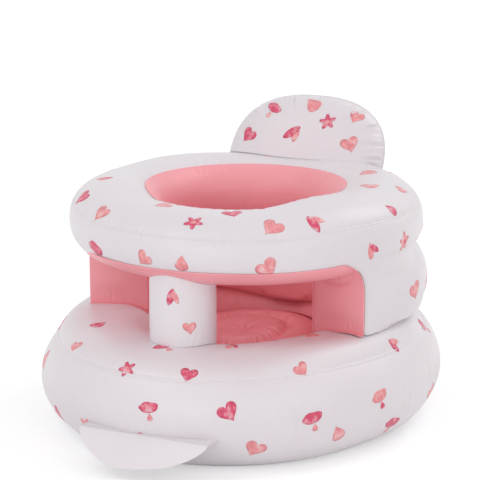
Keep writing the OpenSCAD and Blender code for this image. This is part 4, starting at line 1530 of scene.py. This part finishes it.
# Lamps: name, place, size, power and tint
LAMPS = (
    ("key", (-1.3, -1.7, 2.6), 2.2, 15, (0.98, 0.985, 1.0)),
    ("front", (-0.1, -3.2, 0.75), 2.2, 14, (1.0, 0.98, 0.985)),
    ("fill", (2.3, -1.3, 1.0), 2.2, 8.3, (1.0, 0.955, 0.95)),
    ("back", (1.2, 1.6, 2.3), 2.0, 17, (1.0, 0.99, 1.0)),
)


class FLOORSEAT_OT_stage(bpy.types.Operator):
    """Builds the pale floor, the studio light and the camera"""

    bl_idname = "floor_seat.stage"
    bl_label = "Stage"

    def execute(self, context):
        self.floor()
        self.world()
        self.lamps()
        self.camera(context)
        context.scene.view_settings.view_transform = "Standard"
        return {"FINISHED"}

    def floor(self):
        """Wide pale square: the camera sees faint shadows on a glow, and the object gets plain light."""
        h = FLOOR_HALF
        mesh = bpy.data.meshes.new("floor")
        mesh.from_pydata([(-h, -h, 0), (h, -h, 0), (h, h, 0), (-h, h, 0)], [], [(0, 1, 2, 3)])
        floor = bpy.data.objects.new("floor", mesh)
        bpy.context.scene.collection.objects.link(floor)
        material = bpy.data.materials.new("pale_floor")
        material.use_nodes = True
        tree = material.node_tree
        tree.nodes.clear()
        plain = linked(tree, "ShaderNodeBsdfDiffuse", (-500, 200), Color=(*paints().floor, 1))
        tint = (FLOOR_SHADE, 1.02 * FLOOR_SHADE, 1.025 * FLOOR_SHADE, 1)
        faint = linked(tree, "ShaderNodeBsdfDiffuse", (-700, 0), Color=tint)
        spot = linked(tree, "ShaderNodeTexCoord", (-1500, -150)).outputs["Object"]
        away = linked(tree, "ShaderNodeVectorMath", (-1300, -150))
        away.operation = "LENGTH"
        tree.links.new(spot, away.inputs[0])
        level = linked(tree, "ShaderNodeMapRange", (-1050, -150), Value=away.outputs["Value"])
        plug(tree, level, From_Min=GLOW_NEAR, From_Max=GLOW_FAR)
        plug(tree, level, To_Min=FLOOR_GLOW, To_Max=1.02 - FLOOR_SHADE * SKY)
        glow = linked(tree, "ShaderNodeEmission", (-700, -150), Color=(1, 1, 1, 1))
        plug(tree, glow, Strength=level.outputs["Result"])
        bright = tree.nodes.new("ShaderNodeAddShader")
        tree.links.new(faint.outputs[0], bright.inputs[0])
        tree.links.new(glow.outputs[0], bright.inputs[1])
        out = tree.nodes.new("ShaderNodeOutputMaterial")
        self.seen_as(tree, plain.outputs[0], bright.outputs[0], out.inputs[0])
        mesh.materials.append(material)

    def seen_as(self, tree, light, look, target):
        """Mixes two shaders: the first lights the object, and the second is what the camera and reflections
        see."""
        path = tree.nodes.new("ShaderNodeLightPath")
        seen = path.outputs["Is Camera Ray"]
        for kind in ("Is Glossy Ray", "Is Transmission Ray"):
            either = tree.nodes.new("ShaderNodeMath")
            either.operation = "MAXIMUM"
            tree.links.new(seen, either.inputs[0])
            tree.links.new(path.outputs[kind], either.inputs[1])
            seen = either.outputs[0]
        mix = tree.nodes.new("ShaderNodeMixShader")
        tree.links.new(seen, mix.inputs[0])
        tree.links.new(light, mix.inputs[1])
        tree.links.new(look, mix.inputs[2])
        tree.links.new(mix.outputs[0], target)

    def world(self):
        """Even studio light, and a white background for the camera and in reflections."""
        world = bpy.data.worlds.new("studio")
        bpy.context.scene.world = world
        world.use_nodes = True
        tree = world.node_tree
        tree.nodes.clear()
        out = tree.nodes.new("ShaderNodeOutputWorld")
        soft = linked(tree, "ShaderNodeBackground", (-300, 100), Color=(1.0, 0.97, 0.965, 1), Strength=SKY)
        white = linked(tree, "ShaderNodeBackground", (-300, -100), Color=(1, 1, 1, 1), Strength=1.0)
        self.seen_as(tree, soft.outputs[0], white.outputs[0], out.inputs[0])

    def lamps(self):
        """Round soft lamps, turned to the object."""
        for name, place, size, power, tint in LAMPS:
            lamp = bpy.data.lights.new(name, "AREA")
            lamp.shape, lamp.size, lamp.energy, lamp.color = "DISK", size, power, tint
            holder = bpy.data.objects.new(name, lamp)
            bpy.context.scene.collection.objects.link(holder)
            holder.location = place
            holder.rotation_mode = "QUATERNION"
            holder.rotation_quaternion = (LAMP_AIM - Vector(place)).to_track_quat("-Z", "Y")

    def camera(self, context):
        """The photo's view: the camera stands off its target, and aims so that it lands on its pixel."""
        data = bpy.data.cameras.new("photo_view")
        camera = bpy.data.objects.new("photo_view", data)
        context.scene.collection.objects.link(camera)
        context.scene.camera = camera
        data.sensor_width = SENSOR
        data.lens = FOCAL_PIXELS / PICTURE * SENSOR
        level = math.cos(CAMERA_RISE)
        back = Vector((math.sin(CAMERA_TURN) * level, -math.cos(CAMERA_TURN) * level, math.sin(CAMERA_RISE)))
        camera.location = CAMERA_TARGET + back * CAMERA_FAR
        right = Vector((math.cos(CAMERA_TURN), math.sin(CAMERA_TURN), 0))
        up = back.cross(right)
        off_x, off_y = ((pixel - PICTURE / 2) * CAMERA_FAR / FOCAL_PIXELS for pixel in TARGET_PIXEL)
        look = (CAMERA_TARGET + up * off_y - right * off_x - camera.location).normalized()
        right = look.cross(Vector((0, 0, 1))).normalized()
        up = right.cross(look)
        camera.rotation_mode = "QUATERNION"
        camera.rotation_quaternion = Matrix((right, up, -look)).transposed().to_quaternion()
        data.clip_start, data.clip_end = 0.1, 200


# ---------------------------------------------------------------- panel and registration


class FLOORSEAT_PT_panel(bpy.types.Panel):
    """Lists the sizes, the colours and the builders"""

    bl_idname = "FLOORSEAT_PT_panel"
    bl_label = "Inflatable Floor Seat"
    bl_space_type = "VIEW_3D"
    bl_region_type = "UI"
    bl_category = "Floor Seat"

    def draw(self, context):
        """One box of sizes, one of colours, and a button for each builder."""
        layout = self.layout
        for group in (context.scene.floor_seat_sizes, context.scene.floor_seat_colours):
            box = layout.box()
            for name in type(group).__annotations__:
                box.prop(group, name)
        for operator in OPERATORS:
            layout.operator(operator.bl_idname)


OPERATORS = (
    FLOORSEAT_OT_stage,
    FLOORSEAT_OT_base_ring,
    FLOORSEAT_OT_seat_pad,
    FLOORSEAT_OT_arm_ring,
    FLOORSEAT_OT_rear_wall,
    FLOORSEAT_OT_liners,
    FLOORSEAT_OT_front_post,
    FLOORSEAT_OT_backrest,
    FLOORSEAT_OT_front_tab,
    FLOORSEAT_OT_valves,
)
CLASSES = (FloorSeatSizes, FloorSeatColours, *OPERATORS, FLOORSEAT_PT_panel)


def register():
    for c in CLASSES:
        bpy.utils.register_class(c)
    bpy.types.Scene.floor_seat_sizes = bpy.props.PointerProperty(type=FloorSeatSizes)
    bpy.types.Scene.floor_seat_colours = bpy.props.PointerProperty(type=FloorSeatColours)


def unregister():
    del bpy.types.Scene.floor_seat_colours
    del bpy.types.Scene.floor_seat_sizes
    for c in reversed(CLASSES):
        bpy.utils.unregister_class(c)


def main():
    """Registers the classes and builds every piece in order."""
    register()
    for operator in OPERATORS:
        group, name = operator.bl_idname.split(".")
        getattr(getattr(bpy.ops, group), name)()


if __name__ == "__main__":
    main()
